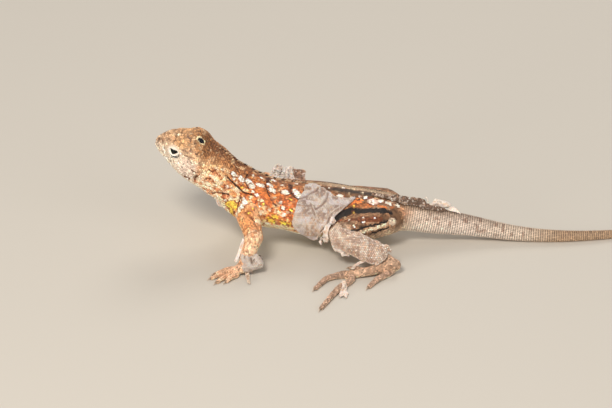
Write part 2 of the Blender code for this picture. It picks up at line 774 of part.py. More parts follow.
def build():
    remove(list(bpy.data.objects))
    nodes = []

    def core(grow):
        low, high = KNOTS[len(HEAD_SECTIONS) - 2], along_at(60.0)
        return trunk("core", low, high, 2.0, 28, grow)

    head = build_head()
    nodes.append((head, "skin_head", 0.6))
    for eye in build_eyes():
        nodes.append((eye, "eye", 0.08))
    nodes.append((build_third_eye(), "third_eye", 0.15))
    for name, piece in build_trunk().items():
        nodes.append((piece, "skin_tail" if name.startswith("tail") else "skin_body", 0.6))
    sides = (
        ("left", ARM_LEFT, HAND_LEFT, LEG_LEFT, FOOT_LEFT),
        ("right", ARM_RIGHT, HAND_RIGHT, LEG_RIGHT, FOOT_RIGHT),
    )
    arm_sizes = (UPPER_ARM_RADII, FOREARM_RADII, FINGER_RADIUS, PALM_RADIUS)
    leg_sizes = (THIGH_RADII, SHIN_RADII, TOE_RADIUS, SOLE_RADIUS)
    for side, arm, hand, leg, foot in sides:
        names = [f"{part}_{side}" for part in ("upper_arm", "forearm", "hand")]
        pieces = build_limb(names, arm, hand, *arm_sizes, core(GAP))
        names = [f"{part}_{side}" for part in ("thigh", "shin", "foot")]
        pieces += build_limb(names, leg, foot, *leg_sizes, core(GAP))
        nodes += [(piece, "skin_limb", 0.6) for piece in pieces]
    for piece in build_shed_skin(core):
        nodes.append((piece, "shed_skin", 0.5))
    nodes.append((build_wrist_bag(), "shed_skin", 0.5))
    origin = middle_of([piece for piece, _, _ in nodes])
    for piece, kind, roughness in nodes:
        finish(piece, origin, kind, roughness)
    return origin


ORIGIN = build()
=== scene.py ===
import math
import random

import bmesh
import bpy
import numpy as np
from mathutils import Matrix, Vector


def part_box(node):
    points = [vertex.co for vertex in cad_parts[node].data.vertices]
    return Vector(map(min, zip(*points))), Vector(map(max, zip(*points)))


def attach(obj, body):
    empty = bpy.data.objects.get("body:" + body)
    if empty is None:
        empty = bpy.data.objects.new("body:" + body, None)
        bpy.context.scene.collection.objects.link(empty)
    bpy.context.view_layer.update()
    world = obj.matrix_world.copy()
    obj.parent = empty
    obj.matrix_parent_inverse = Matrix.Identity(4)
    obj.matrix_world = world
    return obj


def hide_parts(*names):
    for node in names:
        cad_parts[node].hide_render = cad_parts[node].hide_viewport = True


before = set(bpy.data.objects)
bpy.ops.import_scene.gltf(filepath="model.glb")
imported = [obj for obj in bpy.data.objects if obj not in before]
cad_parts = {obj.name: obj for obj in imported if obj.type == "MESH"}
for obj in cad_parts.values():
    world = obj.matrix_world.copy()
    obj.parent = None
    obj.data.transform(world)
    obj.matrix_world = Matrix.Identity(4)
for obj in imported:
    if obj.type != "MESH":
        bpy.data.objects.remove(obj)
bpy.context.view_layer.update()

import openvdb as vdb
from mathutils import Vector
from mathutils.geometry import delaunay_2d_cdt
from mathutils.bvhtree import BVHTree
from mathutils.kdtree import KDTree

# Everything is worked out in millimetres in the animal's own frame: it faces -X, its left side is on -Y.
# shift is where that frame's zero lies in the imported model.
mm = 0.001
flesh = ("head", "neck", "torso", "tail_base", "tail_middle", "tail_tip")
limbNames = ("upper_arm", "forearm", "hand", "thigh", "shin", "foot")

headPose = {"snout": (-48.0, 5.4, 34.8), "pitch": 17.0, "yaw": 13.0, "roll": 11.0, "square": (2.5, 2.5)}
headSections = (  # distance behind the snout, half width, top, underside
    (0.0, 0.6, -0.8, -2.6),
    (0.5, 1.3, 0.0, -3.2),
    (1.8, 2.4, 1.7, -4.3),
    (4.0, 3.9, 3.8, -5.5),
    (6.5, 5.1, 4.4, -6.8),
    (9.0, 6.4, 5.7, -7.9),
    (12.0, 7.7, 6.9, -8.8),
    (15.0, 8.3, 5.9, -9.7),
    (18.0, 8.1, 3.4, -10.3),
)
bodySquare = (1.85, 2.3)
bodySections = (  # centre x, y, z, pitch, yaw, roll, half width, top, underside
    (-28.9, 1.2, 26.2, 31.0, 9.0, 9.0, 7.8, 5.7, 9.0),
    (-26.7, 0.8, 23.2, 42.0, 6.0, 6.0, 7.5, 6.7, 7.7),
    (-23.9, 0.4, 20.4, 43.0, 3.0, 3.0, 7.6, 7.6, 7.0),
    (-20.8, 0.1, 18.0, 36.0, 1.0, 1.0, 8.4, 7.7, 8.2),
    (-17.0, 0.0, 16.0, 25.0, 0.0, 0.0, 9.5, 7.5, 8.6),
    (-12.0, 0.0, 14.2, 14.0, 0.0, 0.0, 10.1, 7.1, 8.0),
    (-6.8, 0.0, 13.1, 8.0, 0.0, 0.0, 10.7, 7.0, 7.4),
    (-1.5, 0.0, 12.2, 7.0, 0.0, 0.0, 11.3, 7.2, 8.0),
    (3.0, 0.0, 11.5, 6.0, 0.0, 0.0, 11.5, 7.6, 8.4),
    (9.3, 0.0, 10.9, 4.0, 0.0, 0.0, 10.9, 7.6, 8.0),
    (15.8, 0.0, 10.4, 3.0, 0.0, 0.0, 9.3, 7.1, 7.3),
    (22.3, 0.0, 10.0, 4.0, 0.0, 0.0, 7.8, 6.4, 6.4),
    (27.3, 0.0, 9.5, 8.0, 0.0, 0.0, 6.5, 5.8, 5.8),
    (31.9, 0.0, 8.8, 11.0, 0.0, 0.0, 5.3, 5.1, 5.1),
    (40.0, 0.0, 7.0, 11.0, 0.0, 0.0, 4.4, 4.3, 4.3),
    (46.5, -0.1, 5.9, 9.5, 1.0, 0.0, 3.9, 3.8, 3.8),
    (52.9, -0.2, 4.9, 9.0, 2.0, 0.0, 3.4, 3.3, 3.3),
    (59.4, -0.5, 3.8, 8.5, 3.0, 0.0, 2.95, 2.85, 2.85),
    (66.0, -0.9, 2.7, 7.0, 4.0, 0.0, 2.6, 2.5, 2.5),
    (73.0, -1.4, 2.1, 2.5, 3.0, 0.0, 2.25, 2.2, 2.2),
    (82.0, -1.6, 1.75, 2.0, -2.0, 0.0, 1.9, 1.85, 1.85),
    (95.0, -0.4, 1.4, 1.5, -9.0, 0.0, 1.5, 1.5, 1.5),
    (111.0, 2.9, 1.05, 1.0, -13.0, 0.0, 1.15, 1.15, 1.15),
    (127.0, 6.6, 0.8, 1.0, -11.0, 0.0, 0.9, 0.9, 0.9),
    (141.0, 8.6, 0.6, 1.0, -4.0, 0.0, 0.68, 0.68, 0.68),
    (152.5, 8.7, 0.38, 1.0, 3.0, 0.0, 0.42, 0.42, 0.42),
)
limbs = {  # joints, and the radius at each joint and half way between
    "arm_left": {"joints": ((-19.0, -7.0, 14.6), (-16.7, -18.6, 11.0), (-20.0, -22.6, 2.5)),
                 "radii": (4.3, 3.5, 2.7, 2.5, 1.75), "palm": 1.75, "digit": 0.85},
    "arm_right": {"joints": ((-18.6, 7.0, 14.6), (-13.0, 18.4, 10.6), (-14.6, 22.2, 2.5)),
                  "radii": (4.3, 3.5, 2.7, 2.5, 1.75), "palm": 1.75, "digit": 0.85},
    "leg_left": {"joints": ((25.6, -4.4, 9.8), (10.9, -15.2, 10.0), (28.3, -22.4, 2.9)),
                 "radii": (5.4, 4.6, 3.4, 3.2, 1.9), "palm": 1.7, "digit": 0.95},
    "leg_right": {"joints": ((25.6, 4.4, 9.8), (9.4, 14.4, 7.6), (26.6, 18.8, 2.8)),
                  "radii": (5.4, 4.6, 3.4, 3.2, 1.9), "palm": 1.7, "digit": 0.95},
}
footLook = {  # shares of the palm's and the digits' radii
    "knuckle": 0.72, "beyond": 0.1, "palm": (1.02, 0.95, 0.8), "flat": 0.86, "rootHeight": 0.8,
    "digit": (1.1, 1.1, 0.9, 0.72), "rootRise": 1.05, "tipRise": 0.62, "arch": 0.45,  # arch in millimetres
    "jointEvery": 2.6, "joint": 0.05,
}
digits = {  # where each digit leaves the palm, its middle and its tip, on the floor plan
    "arm_left": (
        ((-22.4, -21.9), (-24.4, -21.2), (-26.2, -21.3)),
        ((-23.4, -22.8), (-26.6, -23.0), (-29.2, -24.0)),
        ((-23.6, -23.6), (-27.4, -24.9), (-30.3, -26.6)),
        ((-23.2, -24.3), (-26.2, -26.6), (-28.6, -29.2)),
        ((-22.2, -24.7), (-24.0, -26.8), (-25.6, -28.8)),
    ),
    "arm_right": (
        ((-16.4, 21.0), (-18.4, 19.6), (-20.6, 19.2)),
        ((-17.6, 21.8), (-20.8, 21.3), (-24.0, 21.2)),
        ((-18.0, 22.8), (-21.4, 23.2), (-24.8, 24.0)),
        ((-17.7, 23.6), (-20.4, 25.6), (-22.8, 28.2)),
        ((-16.6, 24.1), (-17.4, 27.0), (-17.6, 30.0)),
    ),
    "leg_left": (
        ((18.6, -22.9), (16.4, -21.3), (14.2, -20.4)),
        ((15.6, -24.6), (11.8, -24.4), (7.8, -25.8)),
        ((14.6, -25.2), (7.4, -27.0), (2.9, -33.2)),
        ((14.2, -26.2), (10.0, -34.5), (4.7, -45.6)),
        ((26.4, -24.4), (23.2, -27.6), (20.0, -32.2)),
    ),
    "leg_right": (
        ((16.0, 18.6), (13.2, 17.2), (10.8, 16.6)),
        ((13.6, 20.2), (9.4, 19.2), (5.4, 18.8)),
        ((13.0, 20.9), (6.6, 21.0), (0.4, 21.8)),
        ((12.8, 21.8), (3.6, 24.0), (-5.6, 27.2)),
        ((21.2, 20.6), (18.2, 23.6), (15.6, 26.8)),
    ),
}
face = {  # places as the distance behind the snout, to the left and above the head's line
    "solidEye": (7.7, 3.8, 1.7), "eye": (7.4, 3.8, 1.1), "eyeRadius": 1.6, "eyeRise": 8.0, "eyeLead": 6.0,
    "lidRadii": (2.8, 1.9, 2.0), "opening": (1.75, 1.25),
    "thirdEye": (13.9, 1.1, 5.6),
    "brow": (8.8, 3.5, 2.4), "browRadii": (3.1, 1.7, 1.05),
    "cheek": (13.2, 6.2, -2.9), "cheekRadii": (4.6, 1.8, 3.0),
    "ear": (16.8, 8.5, -3.6), "earRadii": (1.1, 1.3, 1.75),
    "nostril": (1.3, 1.4, 0.7), "nostrilRadii": (0.4, 0.4, 0.4),
    "mouthCorner": 13.0, "mouthDrop": (-2.0, -5.3), "mouthRadii": (0.14, 0.28, 0.28, 0.14),
}
skinLook = {
    "voxel": 0.465, "quickVoxel": 0.6, "low": (-50.5, -49.0, -1.2), "high": (155.0, 32.5, 43.0), "reach": 3.0,
    "refinedBefore": -17.0, "refinedAbove": 10.0,  # the head and neck lie in front of and above these
    "inset": 0.12, "underside": 0.06, "seed": 5,
}
blends = {  # how softly each form runs into the skin
    "upper": 2.2, "lower": 1.2, "palm": 1.2, "digit": 0.5, "lid": 0.9, "brow": 1.2, "cheek": 1.2,
    "eyeball": 0.15, "opening": 0.2, "ear": 0.4, "nostril": 0.15, "mouth": 0.2, "tailEnd": 0.5, "floor": 0.15,
}


# small numeric helpers
def linear(colour):
    c = np.asarray(colour, float) / 255.0
    return np.where(c <= 0.04045, c / 12.92, ((c + 0.055) / 1.055) ** 2.4)


def axesOf(pitch, yaw, roll):
    pitch, yaw, roll = (np.radians(np.asarray(a, float)) for a in (pitch, yaw, roll))
    forward = np.stack([-np.cos(pitch) * np.cos(yaw), np.cos(pitch) * np.sin(yaw), np.sin(pitch)], -1)
    level = np.stack([np.sin(yaw), np.cos(yaw), np.zeros_like(yaw)], -1)
    upright = np.cross(level, forward)
    c, s = np.cos(roll)[..., None], np.sin(roll)[..., None]
    return forward, c * level + s * upright, c * upright - s * level


def throughRows(knots, rows, at):  # cubic through the rows, with slopes from the neighbours
    knots, rows, at = np.asarray(knots, float), np.asarray(rows, float), np.atleast_1d(at)
    slopes = np.gradient(rows, knots, axis=0)
    i = np.clip(np.searchsorted(knots, at) - 1, 0, len(knots) - 2)
    width = (knots[i + 1] - knots[i])[:, None]
    t = ((at - knots[i])[:, None]) / width
    return ((2 * t**3 - 3 * t**2 + 1) * rows[i] + (t**3 - 2 * t**2 + t) * width * slopes[i]
            + (3 * t**2 - 2 * t**3) * rows[i + 1] + (t**3 - t**2) * width * slopes[i + 1])


def unit(v):
    return v / np.maximum(np.linalg.norm(v, axis=-1, keepdims=True), 1e-9)


def lengthsAlong(points):  # how far along their line each of the points lies
    return np.concatenate([[0.0], np.cumsum(np.linalg.norm(np.diff(points, axis=0), axis=1))])


def dot(a, b):  # row by row
    return np.einsum("ij,ij->i", a, b)


def softMin(a, b, k):
    h = np.maximum(k - np.abs(a - b), 0.0) / k
    return np.minimum(a, b) - h * h * k * 0.25


def softMax(a, b, k):
    return -softMin(-a, -b, k)


def step01(low, high, value):  # smooth step from 0 at low to 1 at high
    t = np.clip((value - low) / (high - low), 0.0, 1.0)
    return t * t * (3 - 2 * t)


def hashed(ix, iy, seed):
    n = (ix * 374761393 + iy * 668265263 + seed * 974634777) & 0xFFFFFFFF
    n = ((n ^ (n >> 13)) * 1274126177) & 0xFFFFFFFF
    return ((n ^ (n >> 16)) & 0xFFFFFF) / 0xFFFFFF


def noise(points, cell, seed):  # smooth value noise, 0 to 1
    p = np.asarray(points, float) / cell
    base = np.floor(p).astype(np.int64)
    f = p - base
    f = f * f * (3 - 2 * f)
    total = 0.0
    for dx in (0, 1):
        for dy in (0, 1):
            for dz in (0, 1):
                corner = hashed(base[:, 0] + dx + 131 * (base[:, 2] + dz), base[:, 1] + dy, seed)
                weight = (np.where(dx, f[:, 0], 1 - f[:, 0]) * np.where(dy, f[:, 1], 1 - f[:, 1])
                          * np.where(dz, f[:, 2], 1 - f[:, 2]))
                total = total + corner * weight
    return total


# the trunk, from the snout to the tip of the tail
headAxes = axesOf(headPose["pitch"], headPose["yaw"], headPose["roll"])


def headPoint(back, left, above):
    forward, right, up = headAxes
    back, left, above = (np.asarray(a, float)[..., None] for a in (back, left, above))
    return np.array(headPose["snout"]) - back * forward - left * right + above * up


def makeTrunk():
    rows = []
    turned = (headPose["pitch"], headPose["yaw"], headPose["roll"])
    for back, half, top, under in headSections:
        middle = 0.5 * (top + under)
        reach = (half, top - middle, middle - under)
        rows.append((*headPoint(back, 0.0, middle), *turned, *reach, *headPose["square"]))
    rows += [(*row, *bodySquare) for row in bodySections]
    rows = np.array(rows)
    knots = lengthsAlong(rows[:, :3])
    spacing = 0.1
    at = np.arange(0.0, knots[-1], spacing)
    table = throughRows(knots, rows, at)
    forward, right, up = axesOf(table[:, 3], table[:, 4], table[:, 5])
    back = -forward
    slopes = [np.gradient(values, spacing, axis=0) for values in (table[:, :3], back)]
    columns = np.concatenate([table[:, :3], back, right, up, table[:, 6:11], *slopes], 1)
    return {"spacing": spacing, "at": at, "table": columns, "knots": knots, "end": at[-1],
            "headEnd": knots[len(headSections) - 1]}


trunk = makeTrunk()
trunkColumns = {"centre": slice(0, 3), "back": slice(3, 6), "right": slice(6, 9), "up": slice(9, 12),
                "half": 12, "top": 13, "under": 14, "squareTop": 15, "squareUnder": 16,
                "slope": slice(17, 20), "turn": slice(20, 23)}


def trunkRow(along):
    place = np.clip(np.asarray(along) / trunk["spacing"], 0, len(trunk["at"]) - 1.001)
    i = place.astype(int)
    f = (place - i)[..., None]
    row = trunk["table"][i] * (1 - f) + trunk["table"][i + 1] * f
    return {name: row[..., column] for name, column in trunkColumns.items()}


def alongAt(x):  # distance along the trunk where its line passes x
    return np.interp(x, trunk["table"][:, 0], trunk["at"])


def trunkPoint(along, angle):  # angle in radians from the right side over the back
    row = trunkRow(along)
    c, s = np.cos(angle), np.sin(angle)
    square = 2.0 / np.where(s >= 0, row["squareTop"], row["squareUnder"])
    side = row["half"] * np.sign(c) * np.abs(c) ** square
    high = np.where(s >= 0, row["top"], row["under"]) * np.sign(s) * np.abs(s) ** square
    return row["centre"] + side[..., None] * row["right"] + high[..., None] * row["up"]


def lean(along):  # degrees by which the middle of the back lies towards the right side
    x = trunkRow(along)["centre"][..., 0]
    return 15.0 * step01(-42.0, -30.0, x) * step01(70.0, 36.0, x)


def trunkCoords(points):  # along, angle, distance outside the surface, plane offset past either end
    along = alongAt(points[:, 0])
    for _ in range(6):
        row = trunkRow(along)
        off = points - row["centre"]
        slope = dot(row["slope"], row["back"]) - dot(off, row["turn"])
        along = np.clip(along + dot(off, row["back"]) / np.maximum(slope, 0.3), 0.0, trunk["end"])
    row = trunkRow(along)
    off = points - row["centre"]
    past, side, high = (dot(off, row[name]) for name in ("back", "right", "up"))
    above = high >= 0
    square = np.where(above, row["squareTop"], row["squareUnder"])
    a = np.abs(side) / row["half"]
    b = np.abs(high) / np.where(above, row["top"], row["under"])
    ratio = np.maximum((a**square + b**square) ** (1 / square), 1e-4)
    reach = np.sqrt(side**2 + high**2) + 1e-6
    angle = np.arctan2(np.sign(high) * b ** (square / 2), np.sign(side) * a ** (square / 2))
    return along, angle % (2 * math.pi), reach - reach / ratio, past


# tubes: limbs, palms and digits
def makeTube(name, path, radii, spacing, flat=1.0):
    path = np.array(path, float)
    knots = lengthsAlong(path)
    count = max(3, int(round(knots[-1] / spacing)) + 1)
    at = np.linspace(0, knots[-1], count)
    points = throughRows(knots, path, at)
    radius = np.interp(at, np.linspace(0, knots[-1], len(radii)), radii)
    tangent = unit(np.gradient(points, at, axis=0))
    side = np.cross(tangent, (0.0, 0.0, 1.0))
    for i in range(count):  # the same side all the way, also where the tube stands upright
        if np.linalg.norm(side[i]) < 0.15:
            side[i] = side[i - 1] if i else (0.0, 1.0, 0.0)
        if i and side[i] @ side[i - 1] < 0:
            side[i] = -side[i]
    side = unit(side - np.sum(side * tangent, 1, keepdims=True) * tangent)
    return {"name": name, "points": points, "radius": radius, "at": at, "tangent": tangent, "side": side,
            "over": np.cross(side, tangent), "flat": flat, "end": at[-1],
            "low": (points - radius[:, None]).min(0), "high": (points + radius[:, None]).max(0)}


def tubeRow(tube, along):
    at = tube["at"]
    pick = lambda values: np.stack([np.interp(along, at, values[:, j]) for j in range(3)], -1)
    centre, tangent, side = (pick(tube[key]) for key in ("points", "tangent", "side"))
    return centre, unit(tangent), unit(side), np.interp(along, at, tube["radius"])


def tubePoint(tube, along, angle):
    centre, tangent, side, radius = tubeRow(tube, along)
    over = np.cross(side, tangent)
    out = np.cos(angle)[:, None] * side + tube["flat"] * np.sin(angle)[:, None] * over
    return centre + radius[:, None] * out


def tubeDistance(tube, points):  # distance outside the surface, and distance along the tube
    best = np.full(len(points), 1e9)
    along = np.zeros(len(points))
    centres, radii, at = tube["points"], tube["radius"], tube["at"]
    for i in range(len(centres) - 1):
        a, ab = centres[i], centres[i + 1] - centres[i]
        t = np.clip((points - a) @ ab / (ab @ ab), 0.0, 1.0)
        off = points - a - t[:, None] * ab
        if tube["flat"] != 1.0:
            off = off + (off @ tube["over"][i])[:, None] * tube["over"][i] * (1 / tube["flat"] - 1)
        d = np.linalg.norm(off, axis=1) - radii[i] * (1 - t) - radii[i + 1] * t
        nearer = d < best
        best = np.where(nearer, d, best)
        along = np.where(nearer, at[i] + t * (at[i + 1] - at[i]), along)
    return best, along


def makeLimb(key):
    limb = limbs[key]
    root, bend, end = (np.array(p) for p in limb["joints"])
    radii = limb["radii"]
    palm = limb["palm"]
    upper = makeTube(key + "_upper", (root, 0.5 * (root + bend), bend), radii[:3], 1.5)
    lower = makeTube(key + "_lower", (bend, 0.5 * (bend + end), end), radii[2:], 1.5)
    plans = digits[key]
    roots = np.array([(*plan[0], 0.0) for plan in plans])
    look = footLook
    knuckle = roots[1:4].mean(0) + (0, 0, palm * look["knuckle"])
    knuckle = knuckle + look["beyond"] * (knuckle - end)
    path = (end, 0.5 * (end + knuckle) - (0, 0, 0.1), knuckle)
    sole = makeTube(key + "_palm", path, [palm * share for share in look["palm"]], 1.2, look["flat"])
    made = [upper, lower, sole]
    claws = []
    r = limb["digit"]
    for number, plan in enumerate(plans):
        (x0, y0), (x1, y1), (x2, y2) = plan
        span = end - knuckle
        far = (np.array((x0, y0)) - knuckle[:2]) @ span[:2] > 0.55 * (span @ span)
        near = end if far else knuckle
        start = 0.75 * near + 0.25 * np.array((x0, y0, 0.0))
        start[2] = min(near[2], palm * look["rootHeight"])
        rest = r * look["tipRise"]
        path = (start, (x0, y0, r * look["rootRise"]), (x1, y1, rest + look["arch"]), (x2, y2, rest))
        tube = makeTube(f"{key}_digit{number}", path, [r * share for share in look["digit"]], 0.7)
        joint = np.cos(tube["at"] * 2 * math.pi / look["jointEvery"])
        tube["radius"] = tube["radius"] * (1 + look["joint"] * joint)
        made.append(tube)
        ahead = unit(np.array((x2 - x1, y2 - y1, 0.0)))
        claws.append((np.array((x2, y2, rest)), ahead, r))
    return made, claws


tubes = []
clawRoots = []
for key in limbs:
    made, claws = makeLimb(key)
    tubes += made
    clawRoots += claws
print("shapes ready:", len(tubes), "tubes")


# the outside of the flesh as one field: how far each point lies outside it
def ellipsoid(centre, frameAxes, radii):
    frameAxes = np.array(frameAxes)
    radii = np.array(radii)
    reach = radii.max()
    def distance(points):
        q = (points - centre) @ frameAxes.T
        scaled = np.linalg.norm(q / radii, axis=1)
        return scaled * (scaled - 1) / np.maximum(np.linalg.norm(q / radii**2, axis=1), 1e-9)
    return {"low": centre - reach, "high": centre + reach, "distance": distance}


def mouthPath(side):
    points = []
    for share in np.linspace(0, 1, 13):
        back = 0.05 + (face["mouthCorner"] - 0.05) * share**1.3
        drop = face["mouthDrop"]
        height = drop[0] + (drop[1] - drop[0]) * back / face["mouthCorner"]
        along = np.interp(back, [s[0] for s in headSections], trunk["knots"][: len(headSections)])
        row = trunkRow(along)
        level = float((headPoint(back, 0.0, height) - row["centre"]) @ row["up"])
        reach, square = (row["top"], row["squareTop"]) if level > 0 else (row["under"], row["squareUnder"])
        half = row["half"] * max(0.0, 1 - (abs(level) / reach) ** square) ** (1 / square)
        points.append(row["centre"] - side * half * row["right"] + level * row["up"])
    return points


def eyeFrame(side):  # centre, then the directions to the front, up and out of the opening
    forward, right, up = headAxes
    centre = headPoint(face["eye"][0], side * face["eye"][1], face["eye"][2])
    rise, lead = math.radians(face["eyeRise"]), math.radians(face["eyeLead"])
    out = unit(-side * math.cos(rise) * right + math.sin(rise) * up + math.sin(lead) * forward)
    front = unit(forward - (forward @ out) * out)
    above = np.cross(front, out) * side
    return centre, front, above, out


def headShape(kind, side):  # an ellipsoid of the face, square to the head
    forward, right, up = headAxes
    back, left, above = face[kind]
    shape = ellipsoid(headPoint(back, side * left, above), (-forward, right, up), face[kind + "Radii"])
    return shape, blends[kind]


def faceShapes():
    raised, hollow = [], []
    for side in (1, -1):
        eye, front, above, outward = eyeFrame(side)
        turned = (front, above, outward)
        deep = face["lidRadii"][2]
        raised.append((ellipsoid(eye, turned, face["lidRadii"]), blends["lid"]))
        raised.append(headShape("brow", side))
        hollow.append((ellipsoid(eye, turned, (face["eyeRadius"] + 0.1,) * 3), blends["eyeball"]))
        hollow.append((ellipsoid(eye + deep * outward, turned, (*face["opening"], deep)), blends["opening"]))
        hollow.append(headShape("ear", side))
        raised.append(headShape("cheek", side))
        hollow.append(headShape("nostril", side))
    line = mouthPath(1)[::-1] + mouthPath(-1)[1:]
    mouth = makeTube("mouth", line, face["mouthRadii"], 0.9)
    mouth["distance"] = lambda points: tubeDistance(mouth, points)[0]
    hollow.append((mouth, blends["mouth"]))
    return raised, hollow


raisedShapes, hollowShapes = faceShapes()


def between(points, low, high):
    return np.flatnonzero(np.all((points > low) & (points < high), axis=1))


def inBox(points, shape, margin):
    return between(points, shape["low"] - margin, shape["high"] + margin)


binWidth = 4.0


def trunkBoxes():  # for each bin of x, the room that the trunk takes
    along = np.linspace(0, trunk["end"], 900)
    angle = np.linspace(0, 2 * math.pi, 24, endpoint=False)
    a, b = np.meshgrid(along, angle, indexing="ij")
    cloud = trunkPoint(a.ravel(), b.ravel())
    bins = np.arange(cloud[:, 0].min() - binWidth, cloud[:, 0].max() + 2 * binWidth, binWidth)
    low = np.full((len(bins), 2), 1e9)
    high = np.full((len(bins), 2), -1e9)
    which = np.clip(((cloud[:, 0] - bins[0]) / binWidth).astype(int), 0, len(bins) - 1)
    for i in (-1, 0, 1):
        where = np.clip(which + i, 0, len(bins) - 1)
        np.minimum.at(low, where, cloud[:, 1:])
        np.maximum.at(high, where, cloud[:, 1:])
    return bins, low, high


trunkBins, trunkLow, trunkHigh = trunkBoxes()


def kindOf(name):  # upper, lower, palm or digit
    return name.split("_")[2].rstrip("01234")


def fleshField(points):
    far = skinLook["reach"]
    d = np.full(len(points), far)
    which = np.clip(((points[:, 0] - trunkBins[0]) / binWidth).astype(int), 0, len(trunkBins) - 1)
    near = between(points[:, 1:], trunkLow[which] - far, trunkHigh[which] + far)
    if len(near):
        along, _, outside, past = trunkCoords(points[near])
        outside = softMax(outside, np.maximum(-along - past, along + past - trunk["end"]), blends["tailEnd"])
        d[near] = np.minimum(outside, far)
    for shape, blend in raisedShapes:
        at = inBox(points, shape, 1.5)
        if len(at):
            d[at] = softMin(d[at], shape["distance"](points[at]), blend)
    for tube in tubes:
        at = inBox(points, tube, 2.5)
        if len(at):
            d[at] = softMin(d[at], tubeDistance(tube, points[at])[0], blends[kindOf(tube["name"])])
    d = d + skinLook["inset"]
    for shape, blend in hollowShapes:
        at = inBox(points, shape, 1.0)
        if len(at):
            d[at] = softMax(d[at], -shape["distance"](points[at]), blend)
    return softMax(d, skinLook["underside"] - points[:, 2], blends["floor"])


def ontoFlesh(points, rounds):  # slides points along the field's slope until they lie on the surface
    h = 0.06
    for _ in range(rounds):
        value = fleshField(points)
        rises = [fleshField(points + h * e) - fleshField(points - h * e) for e in np.eye(3)]
        slope = np.stack(rises, 1) / (2 * h)
        size = np.maximum((slope**2).sum(1), 0.2)
        points = points - np.clip(value / size, -0.25, 0.25)[:, None] * slope
    return points


def largestShell(count, faces):
    owner = np.arange(count)
    pairs = np.concatenate([faces[:, [0, 1]], faces[:, [1, 2]], faces[:, [2, 3]]])
    while True:  # each point takes the lowest label among its neighbours until none changes
        before = owner.copy()
        low = np.minimum(owner[pairs[:, 0]], owner[pairs[:, 1]])
        np.minimum.at(owner, pairs[:, 0], low)
        np.minimum.at(owner, pairs[:, 1], low)
        owner = owner[owner]
        if np.array_equal(before, owner):
            break
    labels, sizes = np.unique(owner, return_counts=True)
    return owner == labels[sizes.argmax()]


def meshSkin():
    voxel = skinLook["voxel"]
    far = skinLook["reach"]
    low, high = np.array(skinLook["low"]), np.array(skinLook["high"])
    count = np.ceil((high - low) / voxel).astype(int)
    dense = np.full(count, far, np.float32)
    slab = 12
    y = low[1] + voxel * np.arange(count[1])
    z = low[2] + voxel * np.arange(count[2])
    for start in range(0, count[0], slab):
        stop = min(start + slab, count[0])
        x = low[0] + voxel * np.arange(start, stop)
        block = np.stack(np.meshgrid(x, y, z, indexing="ij"), -1).reshape(-1, 3)
        dense[start:stop] = fleshField(block).reshape(stop - start, count[1], count[2])
    grid = vdb.FloatGrid(far)
    grid.copyFromArray(np.clip(dense, -far, far))
    points, quads = grid.convertToQuads(isovalue=0.0)
    points = points.astype(float) * voxel + low
    quads = quads.astype(int)
    kept = largestShell(len(points), quads)
    place = np.cumsum(kept) - 1
    quads = place[quads[kept[quads[:, 0]]]]
    points = ontoFlesh(points[kept], 2)
    normal = np.cross(points[quads[:, 2]] - points[quads[:, 0]], points[quads[:, 3]] - points[quads[:, 1]])
    if (points[quads].mean(1) * normal).sum() < 0:
        quads = quads[:, ::-1]
    return points, quads


def objectFrom(name, points, faces):
    mesh = bpy.data.meshes.new(name)
    mesh.from_pydata((np.asarray(points) * mm + shift).tolist(), [], faces)
    made = bpy.data.objects.new(name, mesh)
    bpy.context.collection.objects.link(made)
    mesh.shade_smooth()
    return made


def findShift():
    low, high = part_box("eye_left")
    middle = 0.5 * (np.array(low) + np.array(high))
    return middle - headPoint(*face["solidEye"]) * mm


shift = findShift()
print("shift", shift.round(5))


def refined(points, quads, chosen):  # cuts the chosen quads into four and joins the others to them
    work = bmesh.new()
    corners = [work.verts.new(p) for p in points]
    faces = [work.faces.new([corners[i] for i in quad]) for quad in quads]
    edges = {edge for face, wanted in zip(faces, chosen) if wanted for edge in face.edges}
    bmesh.ops.subdivide_edges(work, edges=list(edges), cuts=1, use_grid_fill=True)
    work.verts.index_update()
    points = np.array([v.co[:] for v in work.verts])
    faces = [tuple(v.index for v in face.verts) for face in work.faces]
    work.free()
    return points, faces


def fans(faces):  # triangles of a mesh with faces of any size
    return np.array([(f[0], f[i], f[i + 1]) for f in faces for i in range(1, len(f) - 1)])


def pointNormals(points, triangles):
    normal = np.zeros_like(points)
    a, b, c = (points[triangles[:, j]] for j in range(3))
    face = np.cross(b - a, c - a)
    for j in range(3):
        np.add.at(normal, triangles[:, j], face)
    return unit(normal)


skinPoints, skinQuads = meshSkin()
middles = skinPoints[skinQuads].mean(1)
before, above = skinLook["refinedBefore"], skinLook["refinedAbove"]
skinPoints, skinFaces = refined(skinPoints, skinQuads, (middles[:, 0] < before) & (middles[:, 2] > above))
skinTriangles = fans(skinFaces)
finer = (skinPoints[:, 0] < before + 1.0) & (skinPoints[:, 2] > above - 1.0)
skinPoints[finer] = ontoFlesh(skinPoints[finer], 2)
skinNormals = pointNormals(skinPoints, skinTriangles)


# the camera's place, which also turns a pixel of the photograph into a point on the skin
studio = {"floor": (206, 198, 186), "distance": 2400.0, "elevation": 30.0, "target": (0.0, 0.0, 12.67),
          "pixelsPerMm": 3.1, "width": 612, "height": 408, "sensor": 36.0, "floorSize": 3.0,
          "floorRoughness": 0.8, "sky": (0.9, 0.92, 0.95, 1.0), "skyStrength": 0.4}
tilt = math.radians(studio["elevation"])
cameraAhead = np.array((0.0, math.cos(tilt), -math.sin(tilt)))
cameraUp = np.array((0.0, math.sin(tilt), math.cos(tilt)))
cameraRight = np.array((1.0, 0.0, 0.0))
cameraPlace = np.array(studio["target"]) - studio["distance"] * cameraAhead
skinTree = BVHTree.FromPolygons(skinPoints.tolist(), skinTriangles.tolist())


